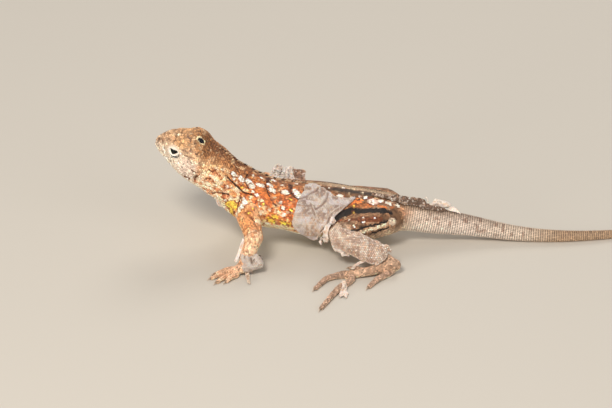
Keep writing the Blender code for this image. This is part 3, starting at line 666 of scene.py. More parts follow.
def photoRays(pixels):
    pixels = np.asarray(pixels, float)
    across = (pixels[:, 0] - studio["width"] / 2) / studio["pixelsPerMm"]
    down = (pixels[:, 1] - studio["height"] / 2) / studio["pixelsPerMm"]
    return unit(cameraAhead * studio["distance"] + across[:, None] * cameraRight - down[:, None] * cameraUp)


def fromPhoto(px, py):  # where a pixel of the photograph meets the skin
    found = skinTree.ray_cast(Vector(cameraPlace), Vector(photoRays([(px, py)])[0]))[0]
    return None if found is None else np.array(found)


def pathDistance(points, path):
    if len(path) == 1:
        return np.linalg.norm(points - path[0], axis=1)
    best = np.full(len(points), 1e9)
    for a, b in zip(path, path[1:]):
        ab = b - a
        t = np.clip((points - a) @ ab / max(ab @ ab, 1e-9), 0.0, 1.0)
        best = np.minimum(best, np.linalg.norm(points - a - t[:, None] * ab, axis=1))
    return best


# folds of the skin, each by its depth and half width in millimetres and the pixels it runs through
foldLines = (
    (0.6, 0.5, (211.5, 193.4), (216, 192.8), (222, 193.4), (228.3, 195)),
    (0.5, 0.5, (226.4, 176), (233.5, 183), (243.2, 192.1), (251.9, 194.6)),
    (0.5, 0.45, (240.9, 197.3), (238, 204.8), (234.4, 213)),
    (0.25, 0.4, (247.3, 174.4), (245, 179), (247, 185.3), (249, 188.7)),
    (0.22, 0.45, (266.5, 182), (265.4, 186), (267.9, 193.3), (270.2, 199), (276, 207)),
    (0.22, 0.34, (199, 187.4), (206, 190.2), (212, 190.9)),
    (0.2, 0.3, (203, 184.8), (211, 187.2), (219, 190.8)),
    (0.22, 0.34, (213, 182.6), (219, 185.6), (225.4, 190.4)),
    (0.2, 0.3, (209.2, 169.8), (212.6, 171.8), (216.4, 170)),
    (0.26, 0.34, (204.6, 179.8), (207.6, 178.6), (211, 178.8)),
    (0.3, 0.36, (184.2, 175.9), (189.8, 178.9)),
    (0.16, 0.3, (183.6, 155.2), (188, 156.6), (194.2, 158.6)),
    (0.14, 0.3, (182.8, 150.2), (188.4, 151.8)),
    (0.2, 0.34, (189.8, 168.6), (193.6, 171.6), (195.8, 172.8)),
    (0.4, 0.5, (244.9, 213), (250, 217.4), (255.7, 223), (259, 230)),
    (0.3, 0.6, (296, 197), (303, 201), (311, 203)),
    (0.24, 0.4, (174.8, 141), (175.6, 138), (178, 136), (182, 135), (186.3, 136.4), (190, 139.4),
     (190.3, 142.4)),
)
foldLook = {"mirrored": 0.9, "lip": 0.3, "lipAt": 2.2, "wrinkles": 0.14, "throat": (0.5, 0.5)}


def throughPhoto(pixels):  # the pixels' places on the skin, without those that miss it
    return [p for p in (fromPhoto(*pixel) for pixel in pixels) if p is not None]


def foldSkin():  # presses the folds into the skin of both sides, with a low lip along each
    global skinPoints, skinNormals, skinTree
    throat = trunkPoint(alongAt(np.array((-25.6, -26.2, -25.6))), np.radians((236.0, 270.0, 304.0)))
    paths = [(*foldLook["throat"], throat)]
    for depth, width, *pixels in foldLines:
        path = throughPhoto(pixels)
        if len(path) < 2:
            continue
        paths.append((depth, width, np.array(path)))
        along, angle, _, _ = trunkCoords(np.array(path))
        mirrored = trunkPoint(along, math.pi - angle - 2 * np.radians(lean(along)))
        paths.append((foldLook["mirrored"] * depth, width, mirrored))
    move = np.zeros(len(skinPoints))
    for depth, width, path in paths:
        near = between(skinPoints, path.min(0) - 4 * width, path.max(0) + 4 * width)
        if len(near):
            d = pathDistance(skinPoints[near], path) / width
            lip = foldLook["lip"] * np.exp(-((d - foldLook["lipAt"]) ** 2))
            move[near] += depth * (lip - np.exp(-(d**2)))
    wrinkle = step01(-46.0, -36.0, skinPoints[:, 0]) * step01(-10.0, -20.0, skinPoints[:, 0])
    stretched = skinPoints @ np.stack(axesOf(40.0, 6.0, 6.0)).T * (0.3, 1.0, 1.0)
    move += foldLook["wrinkles"] * wrinkle * (np.abs(noise(stretched, 0.9, 41) - 0.5) * 2 - 0.5)
    skinPoints = skinPoints + move[:, None] * skinNormals
    skinNormals = pointNormals(skinPoints, skinTriangles)
    skinTree = BVHTree.FromPolygons(skinPoints.tolist(), skinTriangles.tolist())


foldSkin()
skin = objectFrom("skin", skinPoints, skinFaces)
print("skin", len(skinPoints), "points", len(skinTriangles), "triangles")


# colours of the living skin, in bands from the middle of the back down to the belly
bandAngles = (0.0, 35.0, 60.0, 95.0, 125.0, 160.0)
bandRows = (  # where along the body, then the colour of each band
    (-48.0, (206, 166, 130), (206, 168, 134), (214, 180, 150), (232, 205, 178), (238, 214, 188),
      (240, 216, 190)),
    (-40.0, (200, 152, 108), (204, 156, 114), (232, 198, 164), (242, 220, 196), (246, 224, 200),
      (246, 226, 202)),
    (-34.0, (130, 80, 40), (170, 118, 74), (228, 178, 134), (244, 212, 180), (252, 230, 202),
      (254, 236, 216)),
    (-27.0, (112, 66, 32), (176, 118, 72), (236, 180, 126), (244, 196, 146), (254, 222, 184),
      (255, 236, 208)),
    (-20.0, (126, 78, 44), (188, 112, 58), (224, 128, 64), (230, 142, 78), (250, 198, 140),
      (255, 234, 198)),
    (-8.0, (150, 96, 56), (204, 120, 62), (206, 108, 50), (216, 122, 58), (255, 216, 160), (255, 246, 220)),
    (5.0, (132, 92, 60), (184, 116, 68), (202, 110, 54), (214, 122, 62), (255, 216, 160), (255, 246, 220)),
    (13.0, (128, 100, 74), (118, 84, 56), (150, 86, 44), (48, 30, 20), (150, 110, 74), (248, 226, 190)),
    (27.0, (96, 76, 56), (100, 76, 54), (204, 132, 84), (140, 98, 66), (218, 186, 146), (244, 222, 190)),
    (35.0, (112, 92, 74), (150, 124, 102), (216, 190, 168), (230, 208, 188), (238, 220, 202),
      (240, 224, 208)),
    (50.0, (150, 128, 110), (190, 166, 148), (214, 192, 174), (224, 204, 188), (234, 216, 202),
      (236, 220, 206)),
    (70.0, (200, 178, 156), (210, 188, 166), (216, 194, 172), (220, 200, 180), (224, 206, 188),
      (226, 208, 190)),
    (82.0, (166, 134, 104), (174, 142, 112), (182, 150, 120), (190, 158, 128), (202, 172, 142),
      (206, 178, 150)),
    (152.0, (150, 118, 88), (156, 124, 94), (164, 132, 102), (172, 140, 110), (184, 152, 122),
      (190, 160, 132)),
)
markColours = {
    "white": (255, 246, 226), "cream": (255, 222, 184), "yellow": (255, 210, 84), "dark": (74, 38, 22),
    "brown": (118, 66, 38), "orange": (226, 124, 62), "black": (30, 22, 18), "pink": (250, 214, 196),
    "pale": (240, 214, 186), "umber": (120, 62, 32), "grey": (150, 116, 96), "peach": (214, 140, 96),
}
markLook = {"strength": 0.94, "soft": 0.12, "reach": 0.7, "rimmed": ("white", "yellow", "pink"),
            "rim": (124, 54, 26), "rimStrength": 0.55, "ragged": ((0.6, 17, 0.34), (0.3, 18, 0.2)),
            "slide": 1.2, "turn": 0.07, "wider": (0.8, 1.15), "looseOnFace": 0.1}
# spots and bars of the left side, each by the pixels it runs through and its half width in pixels
flankMarks = (
    ("dark", 0.8, (227.2, 176.6), (233.5, 183), (243.2, 192.1), (251.9, 194.4)),
    ("dark", 1.1, (247.3, 174.4), (245, 179), (247, 185.3), (249, 188.7)),
    ("dark", 0.9, (240.9, 197.3), (238, 204.8), (234.4, 213)),
    ("dark", 2.2, (267.3, 178.5), (267, 181)),
    ("dark", 1.1, (266.5, 182), (265.4, 186), (267.9, 193.3), (270.2, 199)),
    ("brown", 0.9, (270.2, 199), (275.4, 204.8), (277.1, 207.6)),
    ("dark", 2.4, (289.5, 185), (290.3, 188)),
    ("dark", 1.2, (290.3, 188), (290.6, 193.3), (294.3, 197.3), (298.4, 199.6)),
    ("dark", 0.8, (222, 193.4), (228.3, 194.4)),
    ("brown", 0.8, (251.3, 217), (254.5, 222)),
    ("yellow", 4.2, (229, 204.5), (233.5, 205.5)),
    ("yellow", 3.2, (231.5, 210.5), (232.5, 214)),
    ("white", 2.3, (243, 204), (239.4, 209.6)),
    ("cream", 2.2, (239, 210.5), (236.6, 215.1), (235.7, 220.8)),
    ("yellow", 2.2, (233.5, 215.6), (234, 219)),
    ("white", 2.5, (244.3, 200.6), (245.2, 202.2)),
    ("white", 2.1, (232.6, 173.2), (235.2, 174.6)),
    ("white", 2.7, (240.4, 177.8), (242.2, 179.8)),
    ("white", 2.7, (248, 181), (250.8, 184)),
    ("white", 2.1, (250.8, 186), (252.6, 186.4)),
    ("white", 2.3, (258, 184.6), (262, 185.6)),
    ("white", 1.4, (252.4, 191.3)),
    ("white", 1.5, (256.7, 194.7)),
    ("white", 1.7, (253.3, 175.5)),
    ("white", 1.8, (261, 177.8)),
    ("white", 2.3, (269, 184.6), (271, 186)),
    ("white", 2.7, (270.8, 189.2), (273.2, 191)),
    ("white", 1.9, (272.3, 180.2), (274, 180.7)),
    ("white", 3.1, (284, 192), (286.4, 192.4)),
    ("white", 1.6, (281.7, 185.3)),
    ("white", 2.9, (294.4, 190.8), (297.8, 195)),
    ("white", 2.0, (295.5, 183.5)),
    ("white", 1.8, (227.5, 186.7)),
    ("pale", 1.3, (236.4, 183)),
    ("yellow", 1.4, (242.1, 187.3)),
    ("white", 1.7, (233.8, 178.9)),
    ("white", 1.9, (225.4, 200.2)),
    ("cream", 1.9, (223.1, 169.8)),
    ("cream", 1.3, (250.4, 197.6)),
    ("cream", 1.4, (261, 200.2)),
    ("yellow", 1.1, (263.3, 203.9)),
    ("cream", 1.4, (259.3, 206.8)),
    ("yellow", 1.5, (253, 209.1)),
    ("yellow", 1.3, (248.7, 212.8)),
    ("cream", 2.3, (261, 212.8)),
    ("cream", 2.0, (269.1, 209.7)),
    ("cream", 1.6, (274.8, 197.3)),
    ("white", 1.8, (280, 202.8)),
    ("white", 2.0, (282.3, 208.2)),
    ("yellow", 1.4, (290.3, 199.3)),
    ("yellow", 1.5, (290.6, 209.7)),
    ("white", 2.2, (283.1, 214.8)),
    ("yellow", 1.9, (273.4, 216.3), (276, 216.8)),
    ("yellow", 2.0, (267.9, 218)),
    ("yellow", 2.2, (270, 220.4), (273, 221.2)),
    ("yellow", 2.1, (282, 222.4), (285, 223.4)),
    ("cream", 3.0, (258, 221), (268, 225.4), (282, 227)),
    ("yellow", 1.8, (289.7, 224.4)),
    ("black", 3.4, (337, 217), (344, 213), (352, 210)),
    ("black", 3.6, (352, 210), (362, 211.6), (374, 210.6), (383, 210.4)),
    ("black", 1.7, (384, 210.4), (391, 213.4)),
    ("orange", 1.9, (352.2, 203.2), (354.6, 201.4)),
    ("orange", 1.6, (358, 202.6), (361.6, 200.4)),
    ("orange", 1.2, (355, 198.8), (358.6, 198)),
    ("orange", 1.2, (368.4, 205.4), (372, 206.4)),
    ("orange", 1.2, (378, 206), (382, 206.6), (386.6, 207.4)),
    ("orange", 1.0, (391.4, 207.6), (393.6, 207)),
    ("white", 2.9, (339.3, 196.2), (340.3, 196.8)),
    ("white", 1.7, (343, 188)),
    ("white", 1.4, (329, 188)),
    ("cream", 1.7, (362.3, 192.6)),
    ("white", 1.9, (365.4, 197.5)),
    ("white", 1.6, (359, 196.5)),
    ("pink", 4.0, (371.4, 201.4), (374.6, 202)),
    ("white", 2.6, (380.5, 200.9)),
    ("white", 2.6, (387.4, 203), (389.4, 203.6)),
    ("white", 2.4, (397.4, 205.6)),
    ("yellow", 1.2, (353.2, 206.3)),
    ("yellow", 1.3, (353.2, 212.4)),
    ("cream", 1.1, (375.6, 195.1)),
    ("white", 1.3, (392.5, 200.4)),
)
faceMarks = (  # on the head, the same on both sides
    ("umber", 0.9, (209.3, 169.8), (212.6, 171.6), (216.2, 169.9)),
    ("umber", 1.05, (194.7, 180.6), (195, 178.2), (196.8, 175.8), (199.6, 174.8)),
    ("umber", 0.5, (159.5, 138.4), (160.1, 139.4)),
    ("pale", 1.9, (199.2, 178.6), (200.6, 177.2)),
    ("umber", 0.8, (184.5, 176.2), (189.4, 178.6)),
    ("umber", 0.7, (204.8, 179.8), (207.6, 178.6), (210.8, 178.6)),
    ("grey", 0.8, (183.2, 150.6), (187.8, 151.8), (191, 151.4)),
    ("grey", 0.8, (184, 155.2), (188, 156.6), (194, 158.6)),
    ("grey", 0.7, (189.8, 168.8), (193.6, 171.8), (195.8, 173)),
    ("grey", 1.1, (187, 136), (190.2, 139), (190.8, 142)),
    ("grey", 0.4, (174.4, 141.4), (175.6, 137.6), (179.4, 135.4)),
    ("grey", 0.9, (161.5, 139), (162.5, 141.5)),
    ("grey", 0.6, (171.6, 157), (173.6, 160.6), (173.8, 163)),
    ("umber", 0.6, (212.5, 193.8), (219, 193.2), (228, 195)),
    ("peach", 0.7, (201, 186.4), (209, 190.4), (217, 191.6)),
    ("peach", 0.6, (204, 184.4), (213, 187.4), (221, 190.6)),
)
thighMarks = (
    ("brown", 2.2, (346, 221), (352, 219), (360, 220.4)),
    ("brown", 3.0, (360, 219), (370, 219.6), (380, 219)),
    ("black", 1.1, (352, 230.6), (366, 227), (380, 223.6), (387, 221)),
    ("cream", 1.7, (361, 232), (374, 228.6), (386, 224.6)),
    ("black", 0.9, (364, 235), (376, 232), (388, 227.4)),
    ("white", 1.5, (363.3, 217.9)),
    ("white", 1.3, (375.3, 217.9)),
    ("white", 1.6, (349.6, 219.6)),
    ("white", 1.5, (363.7, 222.5)),
    ("white", 1.5, (354.2, 226.7)),
    ("pale", 3.4, (391.5, 220.5), (393.5, 222.5)),
)


def marksOnSkin():  # left ones where the photograph has them, right ones alike but a little changed
    chance = random.Random(skinLook["seed"])
    made = []
    for group in (faceMarks, flankMarks, thighMarks):
        for colour, width, *pixels in group:
            path = throughPhoto(pixels)
            if not path:
                continue
            width = width / studio["pixelsPerMm"]
            made.append({"colour": colour, "width": width, "path": np.array(path)})
            if group is thighMarks:
                continue
            along, angle, _, _ = trunkCoords(np.array(path))
            loose = markLook["looseOnFace"] if group is faceMarks else 1.0
            slide = loose * chance.uniform(-markLook["slide"], markLook["slide"])
            turn = loose * chance.uniform(-markLook["turn"], markLook["turn"])
            mirrored = trunkPoint(along + slide, math.pi - angle - 2 * np.radians(lean(along)) + turn)
            width = width * chance.uniform(*markLook["wider"])
            made.append({"colour": colour, "width": width, "path": mirrored})
    return made


skinMarks = marksOnSkin()
print("marks", len(skinMarks))


def mix(a, b, share):  # from a to b, point by point
    a, b = np.asarray(a, float), np.asarray(b, float)
    return a + (b - a) * np.asarray(share)[:, None]


def placeOnBody(points):  # which shape each point belongs to, and where on it
    along, angle, outside, past = trunkCoords(points)
    outside = np.maximum(outside, np.maximum(-along - past, along + past - trunk["end"]))
    part = np.full(len(points), -1)
    on = along.copy()
    best = outside + 0.15
    for number, tube in enumerate(tubes):
        at = inBox(points, tube, 2.0)
        if not len(at):
            continue
        d, where = tubeDistance(tube, points[at])
        nearer = d < best[at]
        at, d, where = at[nearer], d[nearer], where[nearer]
        best[at] = d
        part[at] = number
        on[at] = where
    return {"along": along, "angle": angle, "part": part, "on": on}


def bandColours(x, down):
    xs = [row[0] for row in bandRows]
    table = np.array([row[1:] for row in bandRows], float)
    i = np.clip(np.searchsorted(xs, x) - 1, 0, len(xs) - 2)
    t = np.clip((x - np.array(xs)[i]) / (np.array(xs)[i + 1] - np.array(xs)[i]), 0, 1)
    j = np.clip(np.searchsorted(bandAngles, down) - 1, 0, len(bandAngles) - 2)
    angles = np.array(bandAngles)
    u = np.clip((down - angles[j]) / (angles[j + 1] - angles[j]), 0, 1)
    u = u * u * (3 - 2 * u)
    return mix(mix(table[i, j], table[i, j + 1], u), mix(table[i + 1, j], table[i + 1, j + 1], u), t)


limbTones = {  # colour of each part of a limb and of its flecks
    "arm": {"upper": (230, 156, 100), "lower": (246, 196, 156), "palm": (226, 180, 146),
            "digit": (220, 176, 142), "fleck": (184, 114, 68)},
    "leg": {"upper": (154, 112, 80), "lower": (206, 176, 150), "palm": (186, 150, 122),
            "digit": (186, 152, 128), "fleck": (94, 64, 42)},
}
limbFlecks = {"upper": 0.6, "lower": 0.42, "palm": 0.24, "digit": 0.24}
limbPale = {"spots": (252, 216, 184), "spotStrength": 0.28, "under": (240, 212, 180), "underStrength": 0.7}


def limbColours(name, share, points, normal):
    tones, kind = limbTones[name[:3]], kindOf(name)
    colour = np.tile(np.array(tones[kind], float), (len(points), 1))
    if kind == "upper":
        colour = mix(colour, tones["lower"], step01(0.75, 1.0, share))
    if kind == "lower":
        colour = mix(tones["lower"], tones["palm"], share)
    flecks = limbFlecks[kind] * step01(0.5, 0.75, noise(points, 0.9, 21))
    spots = limbPale["spotStrength"] * step01(0.6, 0.85, noise(points, 2.6, 22))
    colour = mix(mix(colour, tones["fleck"], flecks), limbPale["spots"], spots)
    return mix(colour, limbPale["under"], limbPale["underStrength"] * step01(0.15, -0.55, normal[:, 2]))


def faceColours(points, colour):
    near = np.flatnonzero(points[:, 0] < -26.0)
    if not len(near):
        return colour
    forward, right, up = headAxes
    off = points[near] - np.array(headPose["snout"])
    back, left, above = -off @ forward, -off @ right, off @ up
    side = np.abs(left)
    dome = np.exp(-(((back - 8.8) / 3.4) ** 2 + ((side - 3.6) / 2.2) ** 2)) * step01(2.4, 4.0, above)
    eye = face["eye"]
    around = np.sqrt(((back - eye[0]) / 3.5) ** 2 + ((above - eye[2] + 0.3) / 2.5) ** 2)
    ring = step01(1.12, 0.85, around) * step01(3.6, 5.0, side)
    cheek = step01(8.5, 12.0, back) * step01(17.5, 14.5, back) * step01(4.0, 6.0, side)
    cheek = cheek * step01(3.4, 1.4, above) * step01(-6.4, -4.0, above)
    lip = step01(14.0, 10.0, back) * step01(-2.4, -3.4, above + 0.2 * back)
    third = face["thirdEye"]
    reach = np.sqrt(((back - third[0] - 0.1) / 1.25) ** 2 + (left - third[1]) ** 2)
    halo = step01(1.5, 1.3, reach) * step01(4.0, 4.6, above)
    rear = np.exp(-(((back - third[0] - 2.9) / 1.0) ** 2 + ((left - third[1] + 0.2) / 2.0) ** 2))
    layers = (  # colour, strength and where it shows
        ((214, 162, 112), 0.8, dome),
        ((246, 226, 200), 0.7, ring),
        ((226, 200, 186), 0.6, cheek),
        ((250, 230, 204), 0.6, lip),
        ((252, 226, 178), 0.95, halo),
        ((120, 78, 48), 0.5, rear * step01(4, 4.8, above)),
    )
    for tone, strength, where in layers:
        colour[near] = mix(colour[near], tone, strength * where)
    return colour


# parts of the trunk: where each comes in and goes out along x, then in degrees from the middle of the back
trunkParts = {
    "upper": (((-33.0, -27.0), (34.0, 27.0)), ((75.0, 40.0),)),
    "sides": (((-33.0, -27.0), (34.0, 27.0)), ((55.0, 75.0), (150.0, 125.0))),
    "crown": (((-27.0, -33.0),), ((80.0, 45.0),)),
    "throat": (((-35.0, -31.0), (-18.0, -22.0)), ((40.0, 70.0),)),
    "tail": (((30.0, 42.0), (100.0, 60.0)), ((150.0, 60.0),)),
    "stripes": (((-2.0, 10.0), (36.0, 26.0)), ((8.0, 14.0), (30.0, 20.0))),
    "ridge": (((-2.0, 10.0), (36.0, 26.0)), ((9.0, 5.0),)),
}
# what lies over the bands: part, colour, strength, the noise's cell and seed, and the levels that it shows at
trunkLayers = (
    ("upper", (112, 66, 38), 0.8, 0.75, 11, 0.5, 0.75),
    ("upper", (250, 214, 168), 0.65, 0.8, 13, 0.62, 0.82),
    ("sides", (160, 74, 38), 0.7, 0.75, 11, 0.45, 0.72),
    ("sides", (255, 226, 184), 0.7, 0.9, 19, 0.58, 0.76),
    ("crown", (112, 74, 48), 0.65, 0.7, 14, 0.55, 0.78),
    ("crown", (244, 216, 178), 0.5, 0.9, 15, 0.6, 0.8),
    ("throat", (188, 104, 58), 0.7, 0.8, 20, 0.42, 0.24),
    ("throat", (255, 232, 200), 0.75, 0.8, 20, 0.58, 0.76),
    ("tail", (120, 84, 66), 0.5, 1.5, 16, 0.62, 0.8),
)
backLines = (("stripes", (44, 34, 28), 0.75), ("ridge", (206, 180, 152), 0.8))


def trunkColours(points, x, down):
    colour = bandColours(x, down)
    parts = {}
    for name, (lengths, heights) in trunkParts.items():
        shares = [step01(*ends, x) for ends in lengths] + [step01(*ends, down) for ends in heights]
        parts[name] = np.prod(shares, axis=0)
    alongNeck = np.stack(axesOf(38.0, 6.0, 8.0)).T
    drawnOut = {"throat": points @ alongNeck * (0.4, 1.0, 1.0), "tail": points * (1.2, 1.0, 1.0)}
    for part, tone, strength, cell, seed, low, high in trunkLayers:
        shown = step01(low, high, noise(drawnOut.get(part, points), cell, seed))
        colour = mix(colour, tone, strength * parts[part] * shown)
    for part, tone, strength in backLines:
        colour = mix(colour, tone, strength * parts[part])
    return colour


def skinColours(points, normal):
    where = placeOnBody(points)
    turned = np.degrees(where["angle"]) - 90.0 + lean(where["along"])
    down = np.abs((turned + 180.0) % 360.0 - 180.0)
    colour = trunkColours(points, trunkRow(where["along"])["centre"][:, 0], down)
    for number, tube in enumerate(tubes):
        on = np.flatnonzero(where["part"] == number)
        if len(on):
            share = where["on"][on] / tube["end"]
            colour[on] = limbColours(tube["name"], share, points[on], normal[on])
    colour = faceColours(points, colour)
    edge = sum(much * (noise(points, cell, seed) - 0.5) for cell, seed, much in markLook["ragged"])
    soft = markLook["soft"]
    for mark in skinMarks:
        reach = mark["width"] + markLook["reach"]
        near = between(points, mark["path"].min(0) - reach, mark["path"].max(0) + reach)
        if len(near):
            d = pathDistance(points[near], mark["path"]) + edge[near] - mark["width"]
            if mark["colour"] in markLook["rimmed"]:
                rim = markLook["rimStrength"] * step01(0.45, 0.15, d)
                colour[near] = mix(colour[near], markLook["rim"], rim)
            shown = markLook["strength"] * step01(soft, -soft, d)
            colour[near] = mix(colour[near], markColours[mark["colour"]], shown)
    return colour


skinTints = skinColours(skinPoints, skinNormals)


def setTint(mesh, colours):
    layer = mesh.color_attributes.new("tint", "FLOAT_COLOR", "POINT")
    values = np.ones((len(colours), 4), np.float32)
    values[:, :3] = linear(np.clip(colours, 0, 255))
    layer.data.foreach_set("color", values.ravel())


# painted shade: the skin shows only in the gaps between the scales, so it is darkened there as shade, and
# darker still along the tail
setTint(skin.data, skinTints * (0.84 - 0.34 * step01(30.0, 38.0, skinPoints[:, 0]))[:, None])
print("skin coloured")


def newMaterial(name, roughness):
    made = bpy.data.materials.new(name)
    made.use_nodes = True
    shader = made.node_tree.nodes["Principled BSDF"]
    shader.inputs["Roughness"].default_value = roughness
    return made, shader


def tintedMaterial(name, look):  # colour from the piece's tint, broken up by fine noise, with a fine bump
    made, shader = newMaterial(name, look["roughness"])
    nodes, links = made.node_tree.nodes, made.node_tree.links
    shader.inputs["Specular IOR Level"].default_value = look["specular"]
    tint = nodes.new("ShaderNodeAttribute")
    tint.attribute_name = "tint"
    place = nodes.new("ShaderNodeTexCoord")
    fine = nodes.new("ShaderNodeTexNoise")
    fine.inputs["Scale"].default_value = look["grain"]
    level = nodes.new("ShaderNodeMapRange")
    level.inputs["To Min"].default_value = 1.0 - look["contrast"]
    level.inputs["To Max"].default_value = 1.0 + look["contrast"]
    tone = nodes.new("ShaderNodeMix")
    tone.data_type = "RGBA"
    tone.blend_type = "MULTIPLY"
    tone.inputs["Factor"].default_value = 1.0
    links.new(place.outputs["Object"], fine.inputs["Vector"])
    links.new(fine.outputs["Fac"], level.inputs["Value"])
    links.new(tint.outputs["Color"], tone.inputs[6])
    links.new(level.outputs["Result"], tone.inputs[7])
    links.new(tone.outputs[2], shader.inputs["Base Color"])
    if "subsurface" in look:
        shader.inputs["Subsurface Weight"].default_value = look["subsurface"]
        shader.inputs["Subsurface Radius"].default_value = (0.0012, 0.0006, 0.0003)
    if "bump" in look:
        fine.inputs["Detail"].default_value = 3.0
        bump = nodes.new("ShaderNodeBump")
        bump.inputs["Strength"].default_value = look["bump"]
        bump.inputs["Distance"].default_value = look["bumpDepth"]
        links.new(fine.outputs["Fac"], bump.inputs["Height"])
        links.new(bump.outputs["Normal"], shader.inputs["Normal"])
    return made


finishes = {
    "skinFinish": {"roughness": 0.62, "specular": 0.35, "grain": 2600.0, "contrast": 0.28, "bump": 0.5,
                   "bumpDepth": 0.00012, "subsurface": 0.08},
    "scaleFinish": {"roughness": 0.5, "specular": 0.4, "grain": 4200.0, "contrast": 0.2, "bump": 0.35,
                    "bumpDepth": 0.00005},
    "eyeFinish": {"roughness": 0.06, "specular": 0.3, "grain": 3200.0, "contrast": 0.4},
    "clawHorn": {"roughness": 0.32, "specular": 0.6, "grain": 3200.0, "contrast": 0.4},
    "shedFinish": {"roughness": 0.7, "specular": 0.3, "grain": 1500.0, "contrast": 0.14, "bump": 0.3,
                   "bumpDepth": 0.00008, "subsurface": 0.15},
}
skinFinish, scaleFinish, eyeFinish, clawFinish, shedFinish = (
    tintedMaterial(name, look) for name, look in finishes.items())
skin.data.materials.append(skinFinish)
skinNodes = [*flesh, *(f"{name}_{side}" for name in limbNames for side in ("left", "right"))]
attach(skin, "root")
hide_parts(*skinNodes)


# scales: each kind is one small closed shape, about 1 long and pointing along +X
keeledScale = {
    "points": ((-0.5, 0, 0), (-0.22, 0.4, 0.0), (0.3, 0.42, 0.06), (0.72, 0, 0.16), (0.3, -0.42, 0.06),
               (-0.22, -0.4, 0.0), (-0.28, 0, 0.15), (0.46, 0, 0.3), (0.05, 0, -0.2)),
    "faces": ((0, 6, 1), (1, 6, 7, 2), (2, 7, 3), (3, 7, 4), (4, 7, 6, 5), (5, 6, 0),
              (1, 8, 0), (2, 8, 1), (3, 8, 2), (4, 8, 3), (5, 8, 4), (0, 8, 5)),
}


def domedScale(sides, squash, rise):  # rounded plate, one ring at its foot and one on its shoulder
    points, faces = [], []
    for size, height in ((0.52, 0.0), (0.36, 0.72 * rise)):
        for j in range(sides):
            angle = 2 * math.pi * (j + 0.5) / sides
            points.append((size * math.cos(angle), squash * size * math.sin(angle), height))
    points += [(0.0, 0.0, rise), (0.0, 0.0, -0.22)]
    for j in range(sides):
        k = (j + 1) % sides
        faces.append((j, k, sides + k, sides + j))
        faces.append((sides + j, sides + k, 2 * sides))
        faces.append((k, j, 2 * sides + 1))
    return {"points": tuple(points), "faces": tuple(faces)}


scaleShapes = {"keeled": keeledScale, "plate": domedScale(6, 1.0, 0.2), "bead": domedScale(6, 0.95, 0.34),
               "smooth": domedScale(6, 1.05, 0.13)}
scaleSockets = (("Roots", "NodeSocketGeometry"), ("Scale Shape", "NodeSocketObject"),
                ("Variation", "NodeSocketFloat"), ("Seed", "NodeSocketInt"), ("Finish", "NodeSocketMaterial"))
scaleLook = {"seed": 3, "sizeVariation": 0.1, "patch": 0.003}


def scaleTree():  # sets one shape on every root, turned and sized by the root's own values
    tree = bpy.data.node_groups.new("setScales", "GeometryNodeTree")
    for name, kind in scaleSockets:
        tree.interface.new_socket(name, in_out="INPUT", socket_type=kind)
    tree.interface.new_socket("Scales", in_out="OUTPUT", socket_type="NodeSocketGeometry")
    add, link = tree.nodes.new, tree.links.new
    start, end = add("NodeGroupInput"), add("NodeGroupOutput")
    shape = add("GeometryNodeObjectInfo")
    link(start.outputs["Scale Shape"], shape.inputs["Object"])
    turn, size = add("GeometryNodeInputNamedAttribute"), add("GeometryNodeInputNamedAttribute")
    for node, name in ((turn, "turn"), (size, "size")):
        node.data_type = "FLOAT_VECTOR"
        node.inputs["Name"].default_value = name
    less, more = add("ShaderNodeMath"), add("ShaderNodeMath")
    less.operation, more.operation = "SUBTRACT", "ADD"
    for node in (less, more):
        node.inputs[0].default_value = 1.0
        link(start.outputs["Variation"], node.inputs[1])
    vary = add("FunctionNodeRandomValue")
    link(less.outputs[0], vary.inputs[2])
    link(more.outputs[0], vary.inputs[3])
    link(start.outputs["Seed"], vary.inputs["Seed"])
    grown = add("ShaderNodeVectorMath")
    grown.operation = "SCALE"
    link(size.outputs[0], grown.inputs[0])
    link(vary.outputs[1], grown.inputs["Scale"])
    place = add("GeometryNodeInstanceOnPoints")
    link(start.outputs["Roots"], place.inputs["Points"])
    link(shape.outputs["Geometry"], place.inputs["Instance"])
    link(turn.outputs[0], place.inputs["Rotation"])
    link(grown.outputs[0], place.inputs["Scale"])
    real = add("GeometryNodeRealizeInstances")
    link(place.outputs["Instances"], real.inputs["Geometry"])
    finish = add("GeometryNodeSetMaterial")
    link(real.outputs["Geometry"], finish.inputs["Geometry"])
    link(start.outputs["Finish"], finish.inputs["Material"])
    link(finish.outputs["Geometry"], end.inputs["Scales"])
    return tree


scalesTree = scaleTree()


def socketOf(tree, name):
    return next(item.identifier for item in tree.interface.items_tree if item.name == name)


def turnAngles(x, z):  # rotation angles of frames with the given forward and outward directions
    y = np.cross(z, x)
    pitch = -np.arcsin(np.clip(x[:, 2], -1, 1))
    return np.stack([np.arctan2(y[:, 2], z[:, 2]), pitch, np.arctan2(x[:, 1], x[:, 0])], 1)


